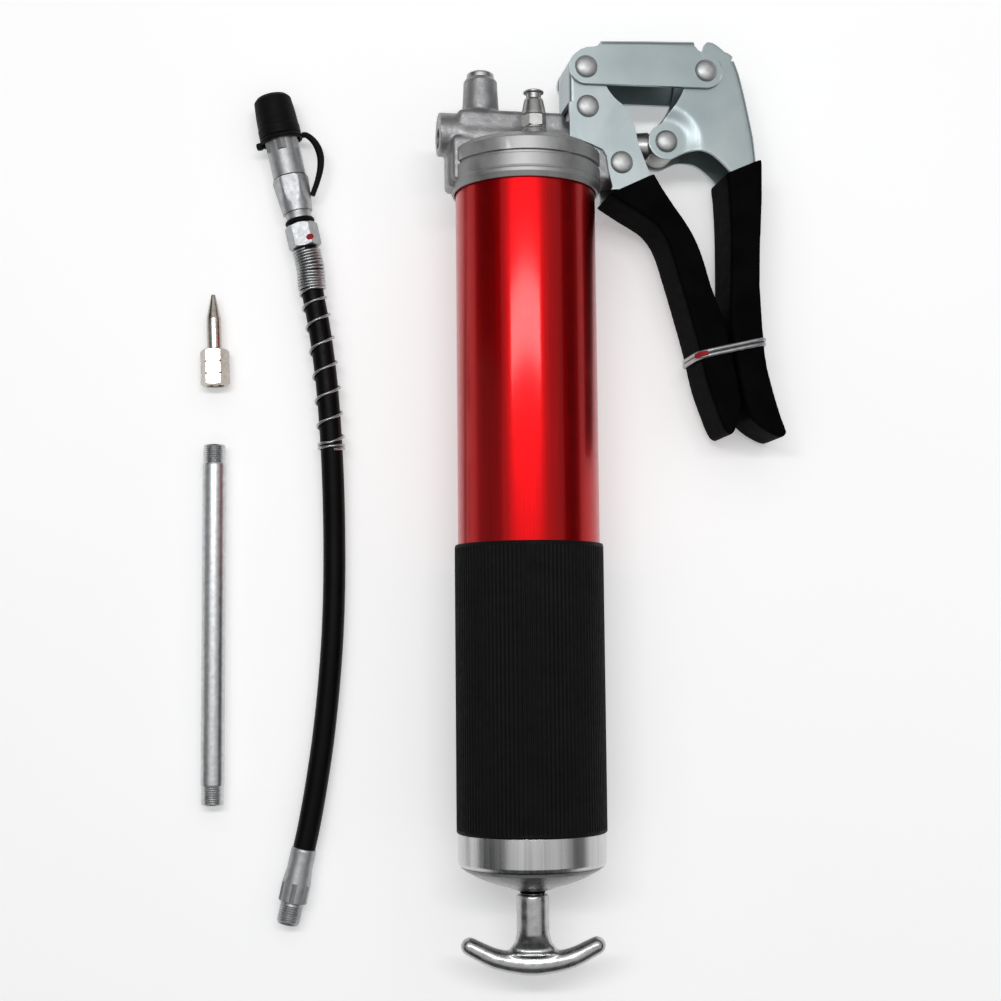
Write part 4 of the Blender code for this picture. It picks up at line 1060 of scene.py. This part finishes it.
last = len(strap_line) - 1
sizes = [1.0 + 0.35 * math.sin(math.pi * min(1.0, i / last * 1.15)) ** 2 for i in range(last + 1)]
section = [(1.15 * math.cos(2 * math.pi * i / 16), 1.5 * math.sin(2 * math.pi * i / 16)) for i in range(16)]
piece("strap_skin", sweep(strap_line, section, up=Vector((0.0, 1.0, 0.0)), scales=sizes), HOSE_AT, "hose_set",
      SLEEVE, "dust_cap_strap", 60.0)
profile = down([(8.0, 18.35), (9.0, 18.35, 0.3), (9.3, 19.2, 0.5), (9.0, 20.1, 0.4), (8.0, 20.1, 0.2)])
lathe("strap_ring", profile, HOSE_AT, "hose_set", SLEEVE, "dust_cap_strap", 64)
tab = melted([(brick((-11.0, -1.7, -21.4), (-7.9, 1.7, -18.5), 0.9), ZUP)], 0.3, 6)
place("strap_tab", tab, HOSE_AT, "hose_set", SLEEVE, "dust_cap_strap", 60.0)

# ---- extension tube, nozzle
TUBE_AT = ROOT @ shift(-131.5, 0.0, 5.0) @ ALONG_Y
threads_top = [(4.45 + 0.3 * (k % 2), -98.9 - 0.45 * k, 0.06) for k in range(1, 18)]
threads_end = [(4.45 + 0.3 * (k % 2), -248.3 + 0.45 * k, 0.06) for k in range(1, 18)][::-1]
profile = [(3.2, -98.6), (4.2, -98.6, 0.2)] + threads_top + [(4.9, -107.2, 0.3), (4.9, -240.0, 0.3)]
profile += threads_end + [(4.2, -248.6, 0.2), (3.2, -248.6)]
lathe("tube_skin", profile, TUBE_AT, "tube", TUBE, "extension_tube", 56)
NOZZLE_AT = ROOT @ shift(-131.2, -73.6, 5.4) @ Matrix.Rotation(math.radians(1.8), 4, "Z") @ ALONG_Y
profile = [(0.5, 39.2), (0.9, 39.2, 0.2), (3.1, 28.8, 0.8), (3.1, 16.0, 0.2), (3.6, 15.4, 0.2), (3.6, 2.0),
           (3.6, 0.1), (0.5, 12.0)]
lathe("nozzle_needle", profile, NOZZLE_AT, "nozzle", NICKEL, "needle_nozzle", 56)
mesh = hexagon(6.2, 0.1, 15.4, 0.8, 3.6)
for height in (4.8, 9.9):
    groove = turned_tool([(5.75, height), (7.0, height + 1.3), (7.0, height - 1.3)], 48)
    mesh = carved(mesh, [(groove, ZUP)])
place("nozzle_hexagon", mesh, NOZZLE_AT @ SIXTH, "nozzle", NICKEL, "needle_nozzle")

# ---- CAD pieces that stay in view
looks = {"barrel_gasket": SLEEVE, "check_ball": STEEL, "check_spring": SPRING, "plunger_packing": SLEEVE,
         "packing_gland": STEEL, "follower_cup": SLEEVE, "follower_plate": ZINC, "follower_nut": STEEL,
         "coupler_jaws": STEEL}
for node, finish in looks.items():
    data = frame["nodes"][node].data
    for index in range(max(1, len(data.materials))):
        if index < len(data.materials):
            data.materials[index] = finish[0]
        else:
            data.materials.append(finish[0])

# ---- floor, lights, camera
floor_mat = new_material("floor_look", (0.94, 0.94, 0.94), 0.8, 0.0, Specular_IOR_Level=0.1,
                         Emission_Color=(1.0, 1.0, 1.0, 1.0), Emission_Strength=0.30)
feed(floor_mat, "Base Color", tint(floor_mat, noise_node(floor_mat, 6.0, 2.0), (0.93, 0.93, 0.93),
                                   (0.95, 0.95, 0.95)))
bm = bmesh.new()
bmesh.ops.create_grid(bm, x_segments=2, y_segments=2, size=4.0)
floor = add_object("floor", as_mesh("floor", bm))
floor.data.materials.append(floor_mat)
floor.location = (0.0, 0.0, -0.0004)

world = bpy.data.worlds.new("studio")
world.use_nodes = True
world.node_tree.nodes["Background"].inputs["Color"].default_value = (0.93, 0.96, 1.0, 1.0)
world.node_tree.nodes["Background"].inputs["Strength"].default_value = 0.06
bpy.context.scene.world = world
bpy.context.scene.view_settings.view_transform = "Standard"


def area(name, at, aim, size, power):
    """A rectangular light at one point, turned to another."""
    light = bpy.data.lights.new(name, "AREA")
    light.shape = "RECTANGLE"
    light.size, light.size_y = size
    light.energy = power
    obj = add_object(name, light)
    obj.location = at
    obj.rotation_euler = (Vector(aim) - Vector(at)).to_track_quat("-Z", "Y").to_euler()


area("tube_light", (-0.05, 0.335, 1.35), (-0.05, 0.335, 0.0), (1.15, 0.10), 6.8)
area("ceiling_box", (0.40, 0.30, 1.05), (0.40, 0.30, 0.0), (2.6, 2.4), 11.0)
area("left_box", (-1.5, 0.1, 0.7), (0.0, 0.0, 0.0), (0.5, 1.6), 0.8)

# Nearly straight down: pitched about X, then leaned a little in the picture
CAMERA_PITCH = math.radians(5.35)
CAMERA_LEAN = math.radians(0.54)
camera_data = bpy.data.cameras.new("camera")
camera_data.lens = 61.5
camera_data.sensor_width = 36.0
camera_data.clip_start = 0.01
camera = add_object("camera", camera_data)
spot = gun_origin + Vector((-0.0113, -0.19017, 0.689))
aim = Matrix.Rotation(CAMERA_PITCH, 4, "X") @ Matrix.Rotation(-CAMERA_LEAN, 4, "Z")
camera.matrix_world = Matrix.Translation(spot) @ aim
bpy.context.scene.camera = camera
